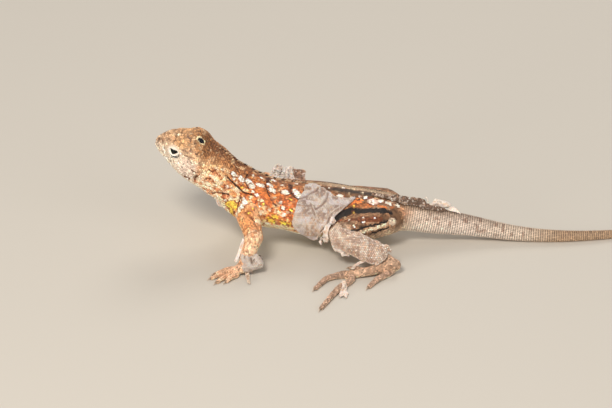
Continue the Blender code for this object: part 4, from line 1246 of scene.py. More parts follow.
def setScales(name, roots, shapeName, finish):
    shape = scaleShapes[shapeName]
    template = bpy.data.meshes.new(shapeName)
    template.from_pydata(shape["points"], [], shape["faces"])
    template.shade_smooth()
    template.set_sharp_from_angle(angle=math.radians(50))
    pattern = bpy.data.objects.new(shapeName, template)
    bpy.context.collection.objects.link(pattern)
    cloud = bpy.data.meshes.new(name)
    count = len(roots["points"])
    cloud.from_pydata((roots["points"] * mm + shift).tolist(), [], [])
    turned = turnAngles(roots["toward"], roots["normal"])
    for key, values in (("turn", turned), ("size", roots["size"] * mm)):
        layer = cloud.attributes.new(key, "FLOAT_VECTOR", "POINT")
        layer.data.foreach_set("vector", values.astype(np.float32).ravel())
    setTint(cloud, roots["tint"])
    made = bpy.data.objects.new(name, cloud)
    bpy.context.collection.objects.link(made)
    change = made.modifiers.new("scales", "NODES")
    change.node_group = scalesTree
    change[socketOf(scalesTree, "Scale Shape")] = pattern
    change[socketOf(scalesTree, "Variation")] = scaleLook["sizeVariation"]
    change[socketOf(scalesTree, "Seed")] = scaleLook["seed"]
    change[socketOf(scalesTree, "Finish")] = finish
    bpy.context.view_layer.update()
    mesh = bpy.data.meshes.new_from_object(made.evaluated_get(bpy.context.evaluated_depsgraph_get()))
    made.modifiers.clear()
    made.data = mesh
    mesh.name = name
    for key in ("turn", "size"):
        if key in mesh.attributes:
            mesh.attributes.remove(mesh.attributes[key])
    each = len(shape["points"])  # every scale shows one small patch round its root's place on the map
    corners = np.empty(len(mesh.loops), np.int32)
    mesh.loops.foreach_get("vertex_index", corners)
    local = np.array(shape["points"])[:, :2]
    spot = roots["place"][corners // each] + scaleLook["patch"] * 0.8 * local[corners % each]
    uv = mesh.uv_layers.new(name="OFBake")
    uv.data.foreach_set("uv", spot.astype(np.float32).ravel())
    bpy.data.objects.remove(pattern)
    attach(made, "root")
    triangles = count * sum(len(f) - 2 for f in shape["faces"])
    print(name, count, "scales", triangles, "triangles")


def settle(points, along, limit=1.3):  # onto the skin, with the way the scales point kept in its plane
    found = [skinTree.find_nearest(Vector(p)) for p in points]
    kept = np.array([f[0] is not None and f[3] < limit for f in found])
    spots = np.array([tuple(f[0]) if f[0] is not None else (0, 0, 0) for f in found])
    faces = np.array([f[2] or 0 for f in found])
    normal = unit(skinNormals[skinTriangles[faces]].mean(1))
    toward = unit(along - np.sum(along * normal, 1, keepdims=True) * normal)
    return spots, normal, toward, kept


def taper(along):  # smaller scales towards the tip of the tail
    return 1.0 - 0.25 * step01(alongAt(60.0), alongAt(140.0), along)


def trunkRows(start, end, step, gap, shifted):  # rows round the trunk from the middle of the back
    alongs, angles = [], []
    along = start
    number = 0
    turn = np.linspace(0, 2 * math.pi, 145) + math.pi / 2
    while along < end:
        ring = trunkPoint(np.full(len(turn), along), turn)
        reach = lengthsAlong(ring)
        count = max(6, int(round(reach[-1] / (gap * taper(along)))))
        marks = (np.arange(count) + shifted * (number % 2)) * reach[-1] / count
        angles.append(np.interp(marks, reach, turn) % (2 * math.pi))
        alongs.append(np.full(count, along))
        along += step * taper(along)
        number += 1
    return np.concatenate(alongs), np.concatenate(angles)


def tubeRows(tube, step, gap, start):
    alongs, angles = [], []
    number = 0
    along = start
    while along < tube["end"] + 0.2:
        radius = np.interp(along, tube["at"], tube["radius"])
        count = max(6, int(round(2 * math.pi * radius / gap)))
        angles.append((np.arange(count) + 0.5 * (number % 2)) * 2 * math.pi / count)
        alongs.append(np.full(count, along))
        along += step
        number += 1
    return np.concatenate(alongs), np.concatenate(angles)


def capRows(tube, step, gap):  # rows over the rounded end of a limb, so that bends aren't bare
    centre, tangent, side, radius = (value[0] for value in tubeRow(tube, np.array([tube["end"]])))
    over = np.cross(side, tangent)
    alongs, angles, points, ahead = [], [], [], []
    for turn in np.arange(step, 0.5 * math.pi * radius, step) / radius:
        count = max(3, int(round(2 * math.pi * radius * math.cos(turn) / gap)))
        angle = np.arange(count) * 2 * math.pi / count + turn
        out = np.cos(angle)[:, None] * side + np.sin(angle)[:, None] * over
        alongs.append(np.full(count, tube["end"] + turn * radius))
        angles.append(angle % (2 * math.pi))
        points.append(centre + radius * (math.cos(turn) * out + math.sin(turn) * tangent))
        ahead.append(math.cos(turn) * tangent - math.sin(turn) * out)
    return [np.concatenate(values) for values in (alongs, angles, points, ahead)]


eyeLook = {"corneaRadius": 1.2, "corneaAhead": 0.5, "pupil": 34.0, "iris": 52.0, "rings": 26, "sides": 36,
           "middleTone": (10, 8, 8), "pupilTone": (7, 6, 6), "irisTone": (30, 18, 12),
           "outerTone": (38, 26, 20)}
lidLook = {
    "middle": (0.0, 0.15), "corners": ((1.55, 0.3), (0.85, 0.74), (-0.6, 0.84), (-1.55, 0.55), (0.15, -1.25)),
    "border": (2.6, 2.2, 2.4), "clear": 0.14, "steps": 20, "sides": 72, "thick": 0.16, "raise": 0.2,
    "folds": 2.6, "foldDepth": 0.06, "shadedCrease": (0.6, 0.16, 0.16), "creaseTowards": (-0.65, -0.76),
    "rim": -0.12, "sunk": 0.2, "roundness": 9, "wave": 0.03, "waves": 9, "twist": 5,
    # dark is a painted shadow, the colour of the crease under the lower lid
    "white": (255, 248, 234), "edge": (228, 200, 172), "dark": (12, 8, 8),
}
thirdLook = {"radii": (1.25, 1.0), "rise": 0.7, "sunk": 0.12, "deep": 0.25, "sides": 28, "rings": 7,
             "colour": (18, 18, 26)}


def onSkin(point):
    spot, _, face, _ = skinTree.find_nearest(Vector(point))
    return np.array(spot), unit(skinNormals[skinTriangles[face]].mean(0))


coat = {  # distance between rows and between scales, and each scale's own length, width and height
    "head": {"step": 0.56, "gap": 0.62, "size": (0.72, 0.72, 0.62)},
    "neck": {"step": 0.5, "gap": 0.52, "size": (0.62, 0.62, 0.5)},
    "body": {"step": 0.56, "gap": 0.6, "size": (0.74, 0.74, 0.6)},
    "tail": {"step": 0.76, "gap": 0.56, "size": (0.64, 0.68, 0.62)},
    "limb": {"step": 0.56, "gap": 0.58, "size": (0.72, 0.7, 0.6)},
    "digit": {"step": 0.42, "gap": 0.46, "size": (0.54, 0.54, 0.5)},
}
scaleChance = np.random.default_rng(scaleLook["seed"])


def circle(sides):  # cosine and sine at even steps all the way round
    angles = [2 * math.pi * j / sides for j in range(sides)]
    return [(math.cos(a), math.sin(a)) for a in angles]


def emptyRoots():
    return {key: [] for key in ("points", "normal", "toward", "size", "place", "tint")}


def addRoots(store, spots, normal, toward, kept, size, place):
    keep = np.flatnonzero(kept)
    points = spots[keep]
    tint = skinColours(points, normal[keep])
    shade = 1.03 + np.where(points[:, 0] > 32.0, 0.06, 0.14) * scaleChance.standard_normal(len(keep))
    store["points"].append(points)
    store["normal"].append(normal[keep])
    store["toward"].append(toward[keep])
    store["size"].append(np.asarray(size)[keep] if np.ndim(size) == 2 else np.tile(size, (len(keep), 1)))
    store["place"].append(place[keep])
    store["tint"].append(tint * shade[:, None])


def inset(share):  # a share of the map's width, clear of its borders
    return 0.02 + 0.96 * share


def joined(store):
    return {key: np.concatenate(values) for key, values in store.items()}


scalePieces = {"scalesHead": "plate", "scalesNeck": "bead", "scalesBack": "keeled", "scalesBelly": "smooth",
               "scalesTail": "keeled", "scalesArms": "keeled", "scalesLegs": "keeled", "scalesFeet": "bead"}
stores = {name: emptyRoots() for name in scalePieces}
neckEnd = float(alongAt(-20.8))
torsoEnd = float(alongAt(29.0))
regions = (  # piece, its rows, and where along the trunk it starts and ends
    ("scalesHead", "head", 0.5, trunk["headEnd"]),
    ("scalesNeck", "neck", trunk["headEnd"], neckEnd),
    ("scalesBack", "body", neckEnd, torsoEnd),
    ("scalesTail", "tail", torsoEnd, trunk["end"]),
)
bellyFrom = 118.0  # degrees from the middle of the back


def clearOfEyes(points):  # no scales on the lids, the eyes or the third eye
    clear = np.ones(len(points), bool)
    for side in (1, -1):
        centre, front, above, outward = eyeFrame(side)
        off = points - centre
        f, u = off @ front / lidLook["border"][0], off @ above
        u = u / np.where(u > 0, lidLook["border"][1], lidLook["border"][2])
        clear &= (f**2 + u**2 > 0.8) | (off @ outward < 0.0)
    spot = onSkin(headPoint(*face["thirdEye"]))[0]
    return clear & (np.linalg.norm(points - spot, axis=1) > thirdLook["radii"][0] - 0.1)


def coatTrunk():
    for name, kind, start, end in regions:
        sizes = coat[kind]
        along, angle = trunkRows(start, end, sizes["step"], sizes["gap"], 0.0 if kind == "tail" else 0.5)
        if kind in ("head", "neck"):
            along = along + scaleChance.normal(0, 0.08, len(along))
            angle = angle + scaleChance.normal(0, 0.012, len(along))
        along = np.clip(along, 0.0, trunk["end"] - 0.4)
        points = trunkPoint(along, angle)
        ahead = trunkPoint(along + 0.3, angle) - points
        spots, normal, toward, kept = settle(points, ahead)
        kept &= np.sum(unit(ahead) * normal, 1) < 0.8
        kept &= clearOfEyes(spots)
        size = np.array(sizes["size"])[None] * taper(along)[:, None]
        place = np.stack([0.02 + 0.96 * along / trunk["end"], 0.02 + 0.5 * angle / (2 * math.pi)], 1)
        if name == "scalesBack":
            lower = np.abs((np.degrees(angle) + 90) % 360 - 180) > bellyFrom
            broad = size * (1.05, 1.0, 1.0)
            addRoots(stores["scalesBelly"], spots, normal, toward, kept & lower, broad, place)
            kept = kept & ~lower
        addRoots(stores[name], spots, normal, toward, kept, size, place)


def coatTubes():
    for number, tube in enumerate(tubes):
        digit = "digit" in tube["name"]
        sizes = coat["digit" if digit else "limb"]
        along, angle = tubeRows(tube, sizes["step"], sizes["gap"], 0.3)
        points = tubePoint(tube, along, angle)
        ahead = tubeRow(tube, along)[1]
        if not digit:
            rows = (along, angle, points, ahead)
            cap = capRows(tube, sizes["step"], sizes["gap"])
            along, angle, points, ahead = (np.concatenate(pair) for pair in zip(rows, cap))
        spots, normal, toward, kept = settle(points, ahead, 0.7)
        where = placeOnBody(spots)
        kept &= where["part"] == number
        kept &= normal[:, 2] > -0.9
        column = 0.02 + 0.96 * (number + 0.1 + 0.8 * angle / (2 * math.pi)) / len(tubes)
        place = np.stack([column, 0.56 + 0.42 * along / 30.0], 1)
        store = "scalesFeet" if digit or "palm" in tube["name"] else (
            "scalesArms" if tube["name"].startswith("arm") else "scalesLegs")
        addRoots(stores[store], spots, normal, toward, kept, sizes["size"], place)


coatTrunk()
coatTubes()
for name, shapeName in scalePieces.items():
    setScales(name, joined(stores[name]), shapeName, scaleFinish)


# eyes: a ball with a raised clear front, dark brown round a black pupil, held by soft wrinkled lids
def ringMesh(rings, closeStart=False, closeEnd=False, hollow=False):  # quads between rings of equal count
    count = len(rings[0])
    points = [tuple(p) for ring in rings for p in ring]
    faces = []
    for i in range(len(rings) if hollow else len(rings) - 1):
        for j in range(count):
            k, following = (j + 1) % count, (i + 1) % len(rings) * count
            faces.append((i * count + j, i * count + k, following + k, following + j))
    for wanted, first, turned in ((closeStart, 0, True), (closeEnd, (len(rings) - 1) * count, False)):
        if wanted:
            hub = len(points)
            points.append(tuple(np.mean(points[first:first + count], axis=0)))
            for j in range(count):
                k = (j + 1) % count
                faces.append((hub, first + k, first + j) if turned else (hub, first + j, first + k))
    return np.array(points), faces


def outwardFaces(made):  # turns a closed mesh the right way out
    work = bmesh.new()
    work.from_mesh(made.data)
    bmesh.ops.recalc_face_normals(work, faces=work.faces)
    work.to_mesh(made.data)
    work.free()
    return made


def makeEye(name, side):  # the cornea is a smaller ball set forward in the eyeball
    centre, front, above, outward = eyeFrame(side)
    look = eyeLook
    ahead = look["corneaAhead"]
    rings, tints = [], []
    for i in range(1, look["rings"]):
        away = math.pi * i / look["rings"]
        ring = []
        for c, s in circle(look["sides"]):
            d = math.cos(away) * outward + math.sin(away) * (c * front + s * above)
            reach = face["eyeRadius"]
            along = d @ outward
            room = look["corneaRadius"] ** 2 - ahead**2 * (1 - along**2)
            if room > 0:
                reach = max(reach, ahead * along + math.sqrt(room))
            ring.append(centre + reach * d)
        rings.append(ring)
        angle = math.degrees(away)
        tone = "outerTone" if angle >= look["iris"] else "irisTone" if angle > look["pupil"] else "pupilTone"
        tints += [look[tone]] * look["sides"]
    points, faces = ringMesh(rings, True, True)
    tints += [look["middleTone"], look["outerTone"]]
    made = outwardFaces(objectFrom(name, points, faces))
    setTint(made.data, np.array(tints))
    made.data.materials.append(eyeFinish)
    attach(made, "root")
    return made


def openingReach(ways):  # distance from the opening's middle to its edge, a polygon with rounded corners
    corners = np.array(lidLook["corners"]) - lidLook["middle"]
    ahead = np.roll(corners, -1, 0) - corners
    out = unit(np.stack([-ahead[:, 1], ahead[:, 0]], 1))
    away = np.sum(out * corners, 1)
    share = np.maximum(ways @ (out * np.sign(away)[:, None]).T, 0.0) / np.abs(away)
    power = lidLook["roundness"]
    return (share**power).sum(1) ** (-1 / power)


def makeLids(name, side):  # from the rim of the opening out to where the lids sink into the skin round them
    centre, front, above, outward = eyeFrame(side)
    look = lidLook
    angle = np.linspace(0, 2 * math.pi, look["sides"], endpoint=False)
    ways = np.stack([np.cos(angle), np.sin(angle)], 1)
    rim = np.array(look["middle"]) + openingReach(ways)[:, None] * ways
    wide, up, down = look["border"]
    edge = np.stack([wide * ways[:, 0], np.where(ways[:, 1] > 0, up, down) * ways[:, 1]], 1)
    shares = np.concatenate([[-0.06], np.linspace(0, 1, look["steps"])])
    flat = np.array([rim + (edge - rim) * max(share, 0.0) for share in shares])
    spots = centre + flat[..., :1] * front + flat[..., 1:] * above
    ball = np.sqrt(np.maximum((face["eyeRadius"] + look["clear"]) ** 2 - (flat**2).sum(-1), 0.05))
    high = ball.copy()
    for i, j in np.ndindex(high.shape):  # no lower than the ball or than the skin under the lids
        found = skinTree.ray_cast(Vector(spots[i, j] + 5 * outward), Vector(-outward))
        if found[0] is not None:
            high[i, j] = max(high[i, j], 5.0 - found[3])
    for _ in range(3):
        high[1:-1] = np.maximum(0.25 * (high[:-2] + 2 * high[1:-1] + high[2:]), ball[1:-1])
    lower = step01(0.35, 0.75, ways @ look["creaseTowards"])
    at, width, deep = look["shadedCrease"]
    rings, tints = [], []
    for i, share in enumerate(shares):
        t = max(share, 0.0)
        shadedCrease = lower * math.exp(-(((t - at) / width) ** 2))
        fold = look["foldDepth"] * math.cos(2 * math.pi * look["folds"] * t) * (1 - t)
        lift = look["raise"] * (0.4 + 0.6 * step01(0.0, 0.25, t)) * (1 - step01(0.88, 1.0, t))
        lift = lift + fold - look["sunk"] * step01(0.92, 1.0, t)
        wave = look["wave"] * np.cos(look["waves"] * angle + look["twist"] * t) * t
        ring = high[i] + (look["rim"] if share < 0 else lift) + wave - deep * shadedCrease
        rings.append(spots[i] + ring[:, None] * outward)
        outer = step01(0.25, 0.9, t) * np.clip(0.9 + ways[:, 1], 0, 1)
        # painted shadow: the crease under the lower lid is painted near black
        tint = mix(mix(look["white"], look["edge"], outer), look["dark"], shadedCrease)
        # painted shade: the rim where the lids tuck in against the eyeball is darker
        tints.append(0.3 * tint if share < 0.03 else tint)
    rings += [ring - look["thick"] * outward for ring in rings[::-1]]
    # painted shade: the inner side of the lids is darker
    tints += [0.6 * tint for tint in tints[::-1]]
    points, faces = ringMesh(rings, hollow=True)
    made = outwardFaces(objectFrom(name, points, faces))
    setTint(made.data, np.concatenate(tints))
    made.data.materials.append(skinFinish)
    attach(made, "root")


for eyeName, side in (("eyeLeft", 1), ("eyeRight", -1)):
    made = makeEye(eyeName, side)
    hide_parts("eye_left" if side > 0 else "eye_right")
    makeLids("lids" + eyeName[3:], side)
print("eyes and lids ready")


# the third eye: a dark domed spot in a ring of pale scales on the crown
def makeThirdEye():
    spot, normal = onSkin(headPoint(*face["thirdEye"]))
    back = unit(-headAxes[0] + (headAxes[0] @ normal) * normal)
    across = np.cross(normal, back)
    look = thirdLook
    rings = []
    for i in range(look["rings"]):
        share = 1 - i / look["rings"]
        high = look["rise"] * math.sqrt(1 - share**2) - look["sunk"]
        ways = [look["radii"][0] * c * back + look["radii"][1] * s * across for c, s in circle(look["sides"])]
        rings.append([spot + share * way + high * normal for way in ways])
    under = [p - look["deep"] * normal for p in rings[0]]
    points, faces = ringMesh([under, *rings], True, True)
    made = outwardFaces(objectFrom("thirdEye", points, faces))
    setTint(made.data, np.tile(look["colour"], (len(points), 1)))
    made.data.materials.append(eyeFinish)
    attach(made, "root")
    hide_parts("third_eye")


makeThirdEye()

# claws: curved, flattened from side to side, dark at the root and paler at the tip
clawLook = {"length": 2.0, "root": 0.4, "narrow": 0.72, "arch": 0.34, "sunk": 0.35, "lowest": 0.05,
            "sides": 10, "rings": 9, "dark": (128, 98, 76), "tip": (226, 204, 178)}


def makeClaws():
    points, faces, tints = [], [], []
    look = clawLook
    up = np.array((0.0, 0.0, 1.0))
    shares = np.linspace(0, 1, look["rings"])
    tones = mix(look["dark"], look["tip"], shares**1.5)
    for tip, ahead, radius in clawRoots:
        across = np.cross(up, ahead)
        start = tip - look["sunk"] * ahead
        rings = []
        for share in shares:
            arch = look["arch"] * math.sin(math.pi * share) - (tip[2] - 0.1) * share**1.6
            centre = start + look["length"] * share * ahead + arch * up
            size = look["root"] * radius / 0.9 * (1 - share) ** 0.75 + 0.03
            ways = [look["narrow"] * c * across + s * up for c, s in circle(look["sides"])]
            rings.append([centre + size * way for way in ways])
        made, sides = ringMesh(rings, True, True)
        made[:, 2] = np.maximum(made[:, 2], look["lowest"])
        faces += [tuple(v + len(points) for v in f) for f in sides]
        points += made.tolist()
        tints += [*np.repeat(tones, look["sides"], axis=0), look["dark"], look["tip"]]
    made = outwardFaces(objectFrom("claws", points, faces))
    setTint(made.data, np.array(tints))
    made.data.materials.append(clawFinish)
    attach(made, "root")


makeClaws()
print("claws ready")


# crest: a low saw of leaning pointed scales from the nape to the root of the tail
crestLook = {"from": -33.0, "to": 44.0, "step": 0.72, "height": 0.85, "lowest": 0.3, "pale": (206, 172, 134),
             "dark": (58, 38, 26), "tail": (196, 170, 142)}
scaleShapes["crestScale"] = {
    "points": ((-0.5, 0, -0.2), (-0.1, 0.28, -0.2), (0.45, 0.26, -0.2), (0.7, 0, -0.2), (0.45, -0.26, -0.2),
               (-0.1, -0.28, -0.2), (0.0, 0.16, 0.32), (0.0, -0.16, 0.32), (0.5, 0.12, 0.42),
               (0.5, -0.12, 0.42), (0.92, 0, 1.0), (0.1, 0, -0.5)),
    "faces": ((0, 6, 1), (0, 5, 7), (0, 7, 6), (1, 6, 8, 2), (5, 4, 9, 7), (6, 7, 10), (6, 10, 8),
              (7, 9, 10), (2, 8, 3), (3, 9, 4), (3, 8, 10), (3, 10, 9), (0, 1, 11), (1, 2, 11), (2, 3, 11),
              (3, 4, 11), (4, 5, 11), (5, 0, 11)),
}


def makeCrest():
    first, last = (float(alongAt(crestLook[key])) for key in ("from", "to"))
    along = np.arange(first, last, crestLook["step"])
    along = along + scaleChance.normal(0, 0.05, len(along))
    angle = math.pi / 2 - np.radians(lean(along))
    points = trunkPoint(along, angle)
    ahead = trunkPoint(along + 0.3, angle) - points
    spots, normal, toward, _ = settle(points, ahead)
    share = (along - along[0]) / (along[-1] - along[0])
    size = crestLook["height"] * (0.75 + 0.25 * np.sin(math.pi * share))
    size = np.maximum(size * step01(0, 0.04, share) * step01(1, 0.85, share), crestLook["lowest"])
    dark = (np.arange(len(along)) % 5 < 2)[:, None]
    tint = np.where(dark, crestLook["dark"], crestLook["pale"])
    tint = mix(tint, crestLook["tail"], step01(0.25, 0.6, share))
    place = np.stack([inset(share), np.full(len(along), 0.5)], 1)
    roots = {"points": spots, "normal": normal, "toward": toward, "tint": tint, "place": place,
             "size": np.stack([size, 0.8 * size, size], 1)}
    setScales("crest", roots, "crestScale", scaleFinish)


makeCrest()

# old skin coming off: thin sheets cut to outlines in the photograph and draped over what lies behind them
shedLook = {
    "thick": 0.16, "cells": 1900.0, "print": 0.55, "printDepth": 0.00014, "fresh": (236, 222, 218),
    # deep is painted shade for the hollows between the ridges and for the sunken creases; pale is the pale
    # edge and also a painted highlight on raised ridges and creases
    "pale": (240, 222, 206), "deep": (150, 122, 108), "dot": (226, 176, 140), "fleck": (252, 238, 224),
    "shadeBetweenBeads": 0.86, "under": 0.85,  # painted shade: how much darker the sheet is between the old scales, and on its underside
}
sheetDefaults = {
    "step": 0.55,  # pixels between the points of the sheet
    "lift": 0.2, "folds": 0.5, "cell": 3.0,  # height over the skin, and the ridges' height and spacing
    "rag": 0.5,  # how far the edge is torn in and out
    "beads": 0.0, "beadsFrom": 0.0,  # length of the old scales, and the pixel column that they start at
    "bulge": 0.0, "back": 0.0,  # how far the middle stands out, and how thick it is with nothing behind it
    "lean": 0.0,  # how steeply a flap falls away from the camera
    "mottle": 1.0, "patches": 0.0, "rim": 0.7,  # how strongly the spots and the painted shade in the hollows, the fresh patches and the pale edge show
    "shadedCrease": shedLook["deep"], "creases": (),  # painted shade colour of the sunken creases, and their lines; raised creases get a painted highlight
}
shedSheets = {
    "shedFlank": {
        "step": 0.62, "lift": 0.4, "cell": 9.0, "rag": 0.9, "beads": 0.16, "colour": (186, 162, 148),
        "patches": 0.85, "low": (255, 232, 214), "lowFrom": 208.0, "lowTo": 226.0,
        "creases": (  # height, half width in pixels, then the pixels that it runs through
            (-0.28, 0.9, (298.3, 199.5), (301.8, 198.7), (306.4, 197.4), (311.5, 194.1),
             (315.6, 192.3), (317.7, 189.8)),
            (-0.28, 0.9, (327.9, 194.9), (326.8, 199), (325.8, 202), (322.8, 205.1), (318.7, 208.2),
             (313.6, 210.7)),
            (-0.25, 0.9, (310.5, 204.6), (312, 207.7), (313.6, 211.7), (315.1, 215.3)),
            (-0.25, 0.8, (329.4, 217.3), (328.4, 220.9), (326.8, 225), (323.8, 228.1), (320.7, 231.1)),
            (0.5, 1.5, (309, 198), (313.6, 196.6), (317.7, 200.5), (320.7, 203), (324.4, 200.5)),
            (0.4, 1.3, (302.3, 193.4), (306.4, 192.3), (310, 192.9)),
            (0.4, 0.8, (312.4, 206.7), (314.8, 211.7), (316.4, 215.8), (317.9, 218.9)),
            (0.4, 0.8, (328.9, 214.8), (334, 210.7), (339.1, 207.7)),
            (0.5, 0.7, (336.5, 214.6), (344.2, 207.6)),
            (0.5, 2.6, (295.4, 219), (298.6, 223)),
            (0.4, 1.1, (324, 187.9), (326.8, 192.6), (325.4, 196.5)),
        ),
        "outline": (
            (305, 184.6), (313, 183.2), (320, 185.6), (328, 190.6), (335.6, 196.4), (345, 197.9),
            (355, 196.5), (355.3, 199.3), (348.9, 204.9), (341.9, 210.5), (335.6, 215.4), (331.4, 220.4),
            (326, 228), (320, 235), (318, 239.6), (313, 240), (303.6, 235.4), (294.8, 229.4),
            (291.5, 222.8), (294.2, 213.3), (296.3, 205.6), (299.1, 199.3), (304, 190.2),
        ),
    },
    "shedGroin": {
        "lift": 0.5, "folds": 0.9, "cell": 2.6, "rag": 1.1, "colour": (250, 242, 236), "bulge": 0.5,
        "outline": (
            (330.4, 216.4), (334, 216.8), (335.7, 220.7), (333, 225.4), (331, 229), (329.5, 233),
            (330, 238), (328.6, 242.3), (325.5, 243), (323.6, 240.2), (322, 245.4), (319.6, 244.6),
            (318.8, 241.4), (321, 238.5), (324, 234.5), (326.5, 229.5), (328.6, 223.5), (329.6, 219),
        ),
    },
    "shedBack": {
        "step": 0.6, "folds": 1.0, "cell": 5.0, "rag": 0.7, "colour": (216, 206, 198), "lean": 0.25,
        "node": "slough_back",
        "outline": (
            (269, 176.4), (269, 174.4), (271.4, 169.9), (275.6, 164.5), (279.3, 163.3), (282.2, 165.3),
            (282.6, 168.6), (286.4, 167), (290.5, 165.3), (293.4, 166.6), (291.9, 170.7), (293.4, 174.9),
            (294.4, 179.4), (283, 179.4), (271.4, 178.4),
        ),
    },
    "shedBackCurl": {
        # the reverse side of the curling flap: its dark brown colour is painted shade
        "step": 0.6, "folds": 0.6, "cell": 4.0, "rag": 0.6, "colour": (134, 98, 78), "lean": 0.4,
        "node": "slough_back",
        "outline": (
            (292.4, 169), (298, 169.4), (303.8, 169.7), (306.3, 172), (304.6, 175.7), (305, 179.6),
            (299, 180.4), (293.6, 180),
        ),
    },
    "shedTailTop": {
        "step": 0.6, "lift": 0.34, "folds": 0.4, "cell": 5.0, "rag": 0.9, "beads": 0.36,
        "colour": (104, 78, 60), "rim": 0.15,
        "outline": (
            (372, 192.8), (385, 194.4), (398, 195.6), (410, 197), (420, 198.2), (425, 199.8), (426.5, 203),
            (433, 205), (441, 207.5), (448, 210.8), (441, 212.4), (430, 210.4), (424, 209.5), (417, 206.8),
            (410, 205.6), (403, 206.2), (399, 203), (394, 201), (385, 199), (377, 197.5), (371, 195.5),
        ),
    },
    "shedTailRoll": {
        "lift": 0.5, "cell": 4.0, "colour": (250, 240, 228), "bulge": 0.75, "back": 1.1, "held": 43.0,
        "node": "slough_tail",
        "outline": (
            (425, 197), (427, 196.8), (428.6, 200.5), (428.8, 203.6), (432, 204), (433.4, 200),
            (435.5, 198.4), (440, 199.4), (446, 201), (450.5, 203.4), (451.8, 205.6), (448, 207.6),
            (442.6, 208.2), (438, 207.2), (431, 206), (426.5, 204.4), (426.6, 200.6),
        ),
    },
    "shedTailFlap": {
        "lift": 0.4, "folds": 0.4, "cell": 4.0, "colour": (246, 234, 220), "bulge": 0.4, "back": 0.3,
        "node": "slough_tail",
        "outline": (
            (447.4, 210.6), (450.6, 207.2), (454, 206.6), (457, 209), (459.6, 212), (461, 214.6),
            (456, 213.4), (450, 212.4),
        ),
    },
    "shedShin": {
        "step": 0.6, "lift": 0.3, "folds": 0.35, "cell": 7.0, "rag": 0.8, "beads": 0.36,
        "colour": (214, 186, 166),
        "outline": (
            (331, 229), (338, 226.5), (346, 229), (352, 231), (360, 232.5), (366, 236), (371.4, 239.6),
            (375.9, 240.1), (379.5, 241.6), (382.4, 245), (383.6, 250), (382, 255.6), (379, 260.6),
            (376, 263.6), (372, 264), (364, 261.5), (356, 257.5), (348, 253.5), (340, 249), (333, 244),
            (329.6, 238), (329, 232),
        ),
    },
    "shedCuff": {
        "lift": 0.45, "folds": 0.45, "cell": 3.4, "rag": 0.8, "beads": 0.34, "colour": (192, 166, 146),
        "stand": (376.0, 388.0, 0.8),
        "outline": (
            (376.8, 246), (379, 243.4), (381.7, 244.2), (384, 244.8), (387, 244.4), (389.6, 245.8),
            (390.4, 248.6), (392.4, 250.8), (390.4, 253.4), (386.8, 255.2), (386, 258.4), (382.1, 261.4),
            (379.4, 264.8), (376.4, 267), (374.4, 265), (376.4, 260), (378.4, 254), (377.4, 250),
        ),
    },
    "shedRags": {
        "lift": 0.35, "folds": 0.8, "cell": 2.4, "rag": 1.3, "colour": (230, 214, 202),
        "outline": (
            (331, 241.6), (336, 245), (341, 248), (345, 250.5), (350.6, 253.9), (349.6, 256.4),
            (345, 255.4), (342, 256.4), (339.5, 253.2), (335.4, 251.4), (333, 247.6),
        ),
    },
    "shedWrist": {
        "folds": 0.35, "cell": 5.0, "rag": 0.4, "beads": 0.2, "beadsFrom": 252.0, "mottle": 0.6,
        "colour": (240, 226, 216), "bulge": 2.5, "back": 2.2, "plane": (-19.6, -22.0, 4.1),
        # the colour of the sunken creases and holes, painted shade
        "shadedCrease": (128, 104, 88), "node": "slough_wrist_left",
        "creases": (  # height, half width in pixels, then the pixels that it runs through
            (-0.3, 1.1, (251.9, 253.6), (252.4, 255)),
            (-0.4, 1.3, (251.2, 258.6), (252, 262.6)),
            (-0.2, 0.9, (254.2, 259.6), (253.8, 261)),
            (-0.2, 0.6, (247.1, 267.4)),
            (-0.2, 0.7, (244.6, 256.4), (244.4, 258)),
            (0.3, 1.2, (242.6, 256), (243.4, 262)),
            (0.3, 0.9, (247.2, 254.6), (247.8, 261)),
            (0.3, 1.6, (256.5, 257), (260, 262)),
            (0.3, 1.3, (241.5, 266.5), (249, 268), (257, 266.4)),
        ),
        "outline": (
            (241, 252.6), (245, 251.4), (250, 251.6), (254.6, 252), (258.6, 254.4), (261.6, 258.4),
            (263.8, 263.4), (263.4, 267), (257.6, 269.6), (250, 272), (244, 272.9), (240, 271),
            (239.6, 268), (241, 264.4), (240.4, 260), (240.2, 256),
        ),
    },
    "shedStrip": {
        "step": 0.5, "folds": 0.3, "rag": 0.4, "colour": (206, 178, 150), "plane": (-19.6, -22.0, 4.1),
        "outline": (
            (244.6, 269.5), (248.8, 269.5), (249.6, 276), (250.2, 284.6), (247.6, 283.4), (246, 278.6),
        ),
    },
    "shedElbow": {
        "step": 0.5, "lift": 0.3, "folds": 0.3, "colour": (242, 234, 230),
        "outline": (
            (242.3, 238.6), (241.5, 241.4), (240, 246), (238.4, 250.6), (236.4, 256), (234.2, 260.8),
            (235.4, 262.4), (237.2, 260.8), (239.8, 255.2), (242, 248.6), (244.2, 241), (245, 238.4),
        ),
    },
    "shedThroat": {
        "step": 0.5, "cell": 2.2, "rag": 0.6, "colour": (226, 210, 198),
        "outline": (
            (215.4, 198.4), (218.5, 199.4), (220.8, 202.5), (222.2, 207), (219.5, 206.2), (217, 203.8),
        ),
    },
    "shedToe": {
        "step": 0.5, "lift": 0.25, "folds": 0.4, "cell": 2.6, "rag": 0.8, "colour": (228, 208, 192),
        "outline": (
            (342, 280.4), (345.6, 281.4), (346.8, 286), (346.4, 290), (348, 294), (346.4, 298.4),
            (343.4, 296), (340.4, 298), (339.2, 294), (341, 289), (342.2, 284.6),
        ),
    },
    "shedLoop": {
        "step": 0.5, "lift": 0.5, "folds": 0.3, "rag": 0.4, "colour": (232, 212, 196),
        "outline": (
            (351.4, 270.6), (352.2, 267.6), (354.5, 264.8), (358, 262), (362, 260.2), (365.6, 259.4),
            (364.6, 262.2), (359.5, 264.2), (356.4, 266.6), (354.4, 270.6),
        ),
    },
}



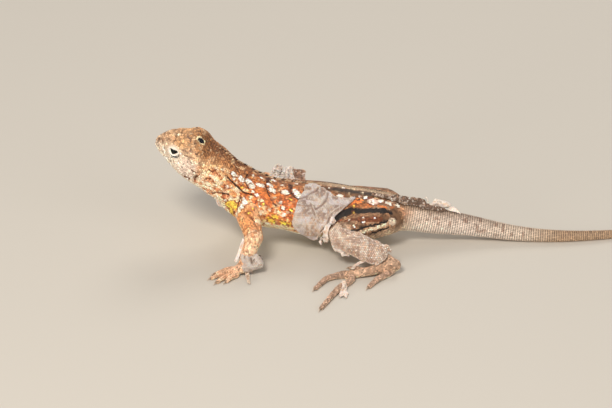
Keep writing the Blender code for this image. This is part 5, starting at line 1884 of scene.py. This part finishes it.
def printScales(material):  # the print of the old scales in the dry skin
    nodes, links = material.node_tree.nodes, material.node_tree.links
    place = next(node for node in nodes if node.bl_idname == "ShaderNodeTexCoord")
    bump = next(node for node in nodes if node.bl_idname == "ShaderNodeBump")
    cells = nodes.new("ShaderNodeTexVoronoi")
    cells.inputs["Scale"].default_value = shedLook["cells"]
    pressed = nodes.new("ShaderNodeBump")
    pressed.invert = True
    pressed.inputs["Strength"].default_value = shedLook["print"]
    pressed.inputs["Distance"].default_value = shedLook["printDepth"]
    links.new(place.outputs["Object"], cells.inputs["Vector"])
    links.new(cells.outputs["Distance"], pressed.inputs["Height"])
    links.new(pressed.outputs["Normal"], bump.inputs["Normal"])


printScales(shedFinish)


def onLevel(flat):  # pixels as points in space
    return np.concatenate([flat, np.zeros((len(flat), 1))], 1)


def raggedLoop(outline, step, rag, seed):  # the outline at even steps, moved in and out a little
    loop = np.array([*outline, outline[0]], float)
    reach = lengthsAlong(loop)
    marks = np.arange(0, reach[-1] - 0.5 * step, step)
    line = np.stack([np.interp(marks, reach, loop[:, j]) for j in (0, 1)], 1)
    ahead = unit(np.roll(line, -1, 0) - np.roll(line, 1, 0))
    level = onLevel(line)
    wave = noise(level, 2.6, seed) - 0.5 + 0.6 * (noise(level, 1.1, seed + 1) - 0.5)
    return line + rag * wave[:, None] * np.stack([ahead[:, 1], -ahead[:, 0]], 1)


def insideLoop(points, loop):
    x, y = points[:, 0, None], points[:, 1, None]
    a, b = loop, np.roll(loop, -1, 0)
    crosses = (a[:, 1] > y) != (b[:, 1] > y)
    at = (b[:, 0] - a[:, 0]) * (y - a[:, 1]) / (b[:, 1] - a[:, 1] + 1e-12) + a[:, 0]
    return (crosses & (x < at)).sum(1) % 2 == 1


def cutSheet(outline, step, rag, seed):  # flat triangles that fill an outline, in pixels
    loop = raggedLoop(outline, step, rag, seed)
    low, high = loop.min(0), loop.max(0)
    rows = np.arange(low[1], high[1], 0.87 * step)
    columns = np.arange(low[0], high[0], step)
    grid = np.array([(x + 0.5 * step * (i % 2), y) for i, y in enumerate(rows) for x in columns])
    grid = grid + np.random.default_rng(seed).uniform(-0.12, 0.12, grid.shape) * step
    closed = onLevel(np.vstack([loop, loop[:1]]))
    edge = pathDistance(onLevel(grid), closed)
    grid = grid[insideLoop(grid, loop) & (edge > 0.5 * step)]
    everyPoint = np.concatenate([loop, grid])
    ring = [(i, (i + 1) % len(loop)) for i in range(len(loop))]
    flat, _, faces = delaunay_2d_cdt([Vector(p) for p in everyPoint], ring, [], 1, 1e-5)[:3]
    return np.array([tuple(p) for p in flat]), np.array([tuple(f) for f in faces if len(f) == 3]), closed


farAway = 1e9


def drape(flat, faces, rays, look):  # distance of each point along its ray, laid over skin and floor
    floor = (0.25 - cameraPlace[2]) / rays[:, 2]
    if "plane" in look or "held" in look:  # flat to the camera, through a place or held by the tail at an x
        place = look.get("plane")
        if place is None:
            place = trunkPoint(alongAt(np.array([look["held"]])), np.radians([62.0]))[0]
        away = (np.array(place) - cameraPlace) @ cameraAhead
        return np.minimum(away / (rays @ cameraAhead), floor), np.zeros(len(flat), bool)
    behind = np.full(len(flat), farAway)
    for i, ray in enumerate(rays):
        found = skinTree.ray_cast(Vector(cameraPlace), Vector(ray))
        if found[0] is not None:
            behind[i] = found[3]
    if look["lean"]:  # a flap of the back isn't held by the limbs beyond it
        behind[behind > behind.min() + 5.0] = farAway
    carried = behind < farAway
    pairs = np.concatenate([faces[:, [0, 1]], faces[:, [1, 2]], faces[:, [2, 0]]])
    pairs = np.concatenate([pairs, pairs[:, ::-1]])
    number = np.bincount(pairs[:, 0], minlength=len(flat)).astype(float)
    reach = behind.copy()
    if carried.any():
        tree = KDTree(int(carried.sum()))
        spots = np.flatnonzero(carried)
        for j, i in enumerate(spots):
            tree.insert((*flat[i], 0.0), j)
        tree.balance()
        for i in np.flatnonzero(~carried):
            _, j, away = tree.find((*flat[i], 0.0))
            reach[i] = behind[spots[j]] + look["lean"] * away / studio["pixelsPerMm"]
    start = reach.copy()
    limit = np.minimum(behind, floor)
    reach = np.minimum(reach, limit)
    for _ in range(60):
        total = np.bincount(pairs[:, 0], weights=reach[pairs[:, 1]], minlength=len(flat))
        reach = np.minimum(0.5 * reach + 0.5 * total / np.maximum(number, 1), limit)
        if look["lean"]:
            reach = np.where(carried, reach, np.minimum(start, limit))
    return reach, carried


sheetSeeds = {"ridges": 3, "fineRidges": 5, "edge": 7, "dots": 9, "beads": 11, "flecks": 15, "fresh": 21}


def makeSheet(name, look, seed):
    seeds = {use: seed + more for use, more in sheetSeeds.items()}
    flat, faces, closed = cutSheet(look["outline"], look["step"], look["rag"], seed)
    rays = photoRays(flat)
    reach, carried = drape(flat, faces, rays, look)
    base = cameraPlace + reach[:, None] * rays
    facing = pointNormals(base, faces)
    if (facing @ cameraAhead).sum() > 0:
        faces = faces[:, ::-1]
        facing = -facing
    level = onLevel(flat)
    edge = pathDistance(level, closed)
    cell = look["cell"]
    ridges = 1 - 2 * np.abs(noise(level * (1.0, 0.7, 1.0), cell, seeds["ridges"]) - 0.5)
    fine = 1 - 2 * np.abs(noise(level, 0.45 * cell, seeds["fineRidges"]) - 0.5)
    ridges = 0.65 * ridges**3 + 0.35 * fine**2
    lift = look["lift"] + look["folds"] * ridges * step01(0.0, 1.6, edge)
    upright = "plane" in look
    lift = lift + look["bulge"] * np.sqrt(np.clip(edge / (8.0 if upright else 4.0), 0, 1))
    if "stand" in look:  # stands away from the limb towards this side
        lift = lift + look["stand"][2] * step01(*look["stand"][:2], flat[:, 0])
    creases = []
    for height, wide, *path in look["creases"]:
        away = pathDistance(level, onLevel(np.array(path)))
        creases.append((height, np.exp(-((away / wide) ** 2))))
        lift = lift + height * creases[-1][1]
    lift = lift + 0.25 * np.exp(-edge / 0.8) * noise(level, 3.0, seeds["edge"])
    front = base + lift[:, None] * facing
    front[:, 2] = np.maximum(front[:, 2], 0.22)
    normal = pointNormals(front, faces)
    swell = look["back"] + (look["bulge"] if upright else 0.0)
    thick = shedLook["thick"] + swell * np.sqrt(np.clip(edge / 6.0, 0, 1)) * ~carried
    rear = front - thick[:, None] * normal
    rear[:, 2] = np.maximum(rear[:, 2], 0.04)
    count = len(front)
    rim = {}
    for f in faces:
        for a, b in ((f[0], f[1]), (f[1], f[2]), (f[2], f[0])):
            if (b, a) in rim:
                del rim[(b, a)]
            else:
                rim[(a, b)] = True
    walls = [(b, a, a + count, b + count) for a, b in rim]
    everyFace = [tuple(f) for f in faces] + [tuple(f[::-1] + count) for f in faces] + walls
    made = objectFrom(name, np.concatenate([front, rear]), everyFace)
    tint = np.tile(np.array(look["colour"], float), (count, 1))
    if "low" in look:
        tint = mix(tint, look["low"], step01(look["lowFrom"], look["lowTo"], flat[:, 1]))
    fresh = step01(0.56, 0.72, noise(level * (1.0, 1.3, 1.0), 5.5, seeds["fresh"]))
    layers = (  # colour, strength and where it shows
        # painted highlight on the raised ridges and painted shade in the hollows between them; then fresh
        # patches, spots and flecks of the old skin's own colour
        (shedLook["pale"], 0.55, step01(0.45, 0.8, ridges)),
        (shedLook["deep"], 0.5 * look["mottle"], step01(0.5, 0.12, ridges) * step01(0.0, 2.0, edge)),
        (shedLook["fresh"], look["patches"], fresh),
        (shedLook["dot"], 0.5 * look["mottle"], step01(0.6, 0.78, noise(level, 1.6, seeds["dots"]))),
        (shedLook["fleck"], 0.6, step01(0.62, 0.8, noise(level, 1.3, seeds["flecks"]))),
        (shedLook["pale"], look["rim"], step01(0.9, 0.1, edge)),
        # painted shade on the sunken creases and painted highlight on the raised ones
        *((shedLook["pale"] if height > 0 else look["shadedCrease"], 0.8, share) for height, share in creases),
    )
    for tone, strength, where in layers:
        tint = mix(tint, tone, strength * where)
    # painted shade: the sheet is darker between its old scales, and its underside is darker too
    shade = shedLook["shadeBetweenBeads"] if look["beads"] else 1.0
    setTint(made.data, np.concatenate([shade * tint, shedLook["under"] * tint]))
    made.data.materials.append(shedFinish)
    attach(made, "root")
    if "node" in look:
        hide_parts(look["node"])
    if look["beads"]:
        addBeads(front, normal, flat, edge, tint, look, seeds["beads"])


shedBeads = emptyRoots()


def addBeads(front, normal, flat, edge, tint, look, seed):  # the old scales, in rows, on points of the sheet
    spacing = 1.75
    rows = np.round(flat[:, 1] / (0.87 * spacing))
    columns = np.round(flat[:, 0] / spacing + 0.5 * (rows % 2))
    target = np.stack([(columns - 0.5 * (rows % 2)) * spacing, rows * 0.87 * spacing], 1)
    away = np.linalg.norm(flat - target, axis=1)
    best = {}
    for i in np.argsort(away):
        best.setdefault((rows[i], columns[i]), i)
    wanted = (away < 0.5) & (edge > 0.6) & (flat[:, 0] > look["beadsFrom"])
    keep = np.array([i for i in best.values() if wanted[i]])
    level = onLevel(flat[keep])
    size = look["beads"] * (0.85 + 0.3 * noise(level, 1.5, seed))
    toward = np.array((0.94, 0.0, -0.34))
    along = unit(toward - (normal[keep] @ toward)[:, None] * normal[keep])
    shedBeads["points"].append(front[keep])
    shedBeads["normal"].append(normal[keep])
    shedBeads["toward"].append(along)
    shedBeads["size"].append(np.stack([1.15 * size, 1.1 * size, 0.85 * size], 1))
    low, high = flat.min(0), flat.max(0)
    number = len(shedBeads["place"])
    spread = (flat[keep] - low) / (high - low).max()
    shedBeads["place"].append(0.02 + 0.3 * spread + np.array((0.33 * (number % 3), 0.33 * (number // 3))))
    # each old scale is a little lighter than the sheet round it, which is darkened between them as painted
    # shade
    shedBeads["tint"].append(tint[keep] * (1.12 + 0.07 * scaleChance.standard_normal((len(keep), 1))))


for number, (name, look) in enumerate(shedSheets.items()):
    makeSheet(name, {**sheetDefaults, **look}, 61 + 13 * number)
    print(name, "ready")
setScales("shedScales", joined(shedBeads), "bead", shedFinish)


# studio
lamps = (  # name, place in metres, size, watts, colour
    ("keyLamp", (-0.3, -0.6, 0.85), 0.35, 7.4, (1.0, 0.95, 0.88)),
    ("fillLamp", (0.7, -0.6, 0.5), 0.7, 1.4, (0.96, 0.98, 1.0)),
    ("lowLamp", (-0.64, -0.47, 0.17), 0.22, 1.0, (1.0, 0.95, 0.88)),
    ("rimLamp", (0.2, 0.7, 0.7), 0.5, 2.6, (1.0, 0.97, 0.92)),
)


def makeStudio():
    floor = bpy.data.objects.new("floor", bpy.data.meshes.new("floor"))
    size = studio["floorSize"]
    corners = [(-size, -size, 0), (size, -size, 0), (size, size, 0), (-size, size, 0)]
    floor.data.from_pydata(corners, [], [(0, 1, 2, 3)])
    paint, shader = newMaterial("floorPaint", studio["floorRoughness"])
    shader.inputs["Base Color"].default_value = (*linear(studio["floor"]), 1.0)
    floor.data.materials.append(paint)
    bpy.context.collection.objects.link(floor)
    camera = bpy.data.objects.new("camera", bpy.data.cameras.new("camera"))
    camera.location = cameraPlace * mm + shift
    camera.rotation_euler = (math.pi / 2 - tilt, 0.0, 0.0)
    viewWidth = studio["width"] / studio["pixelsPerMm"] * mm
    camera.data.sensor_width = studio["sensor"]
    camera.data.lens = studio["sensor"] * studio["distance"] * mm / viewWidth
    camera.data.clip_start = 0.05
    bpy.context.collection.objects.link(camera)
    bpy.context.scene.camera = camera
    for name, place, size, power, colour in lamps:
        lamp = bpy.data.lights.new(name, "AREA")
        lamp.shape = "DISK"
        lamp.size = size
        lamp.energy = power
        lamp.color = colour
        holder = bpy.data.objects.new(name, lamp)
        holder.location = place
        holder.rotation_euler = (-Vector(place)).to_track_quat("-Z", "Y").to_euler()
        bpy.context.collection.objects.link(holder)
    world = bpy.data.worlds.new("studio")
    world.use_nodes = True
    sky = world.node_tree.nodes["Background"]
    sky.inputs["Color"].default_value = studio["sky"]
    sky.inputs["Strength"].default_value = studio["skyStrength"]
    bpy.context.scene.world = world
    bpy.context.scene.view_settings.view_transform = "Standard"


makeStudio()
print("studio ready")
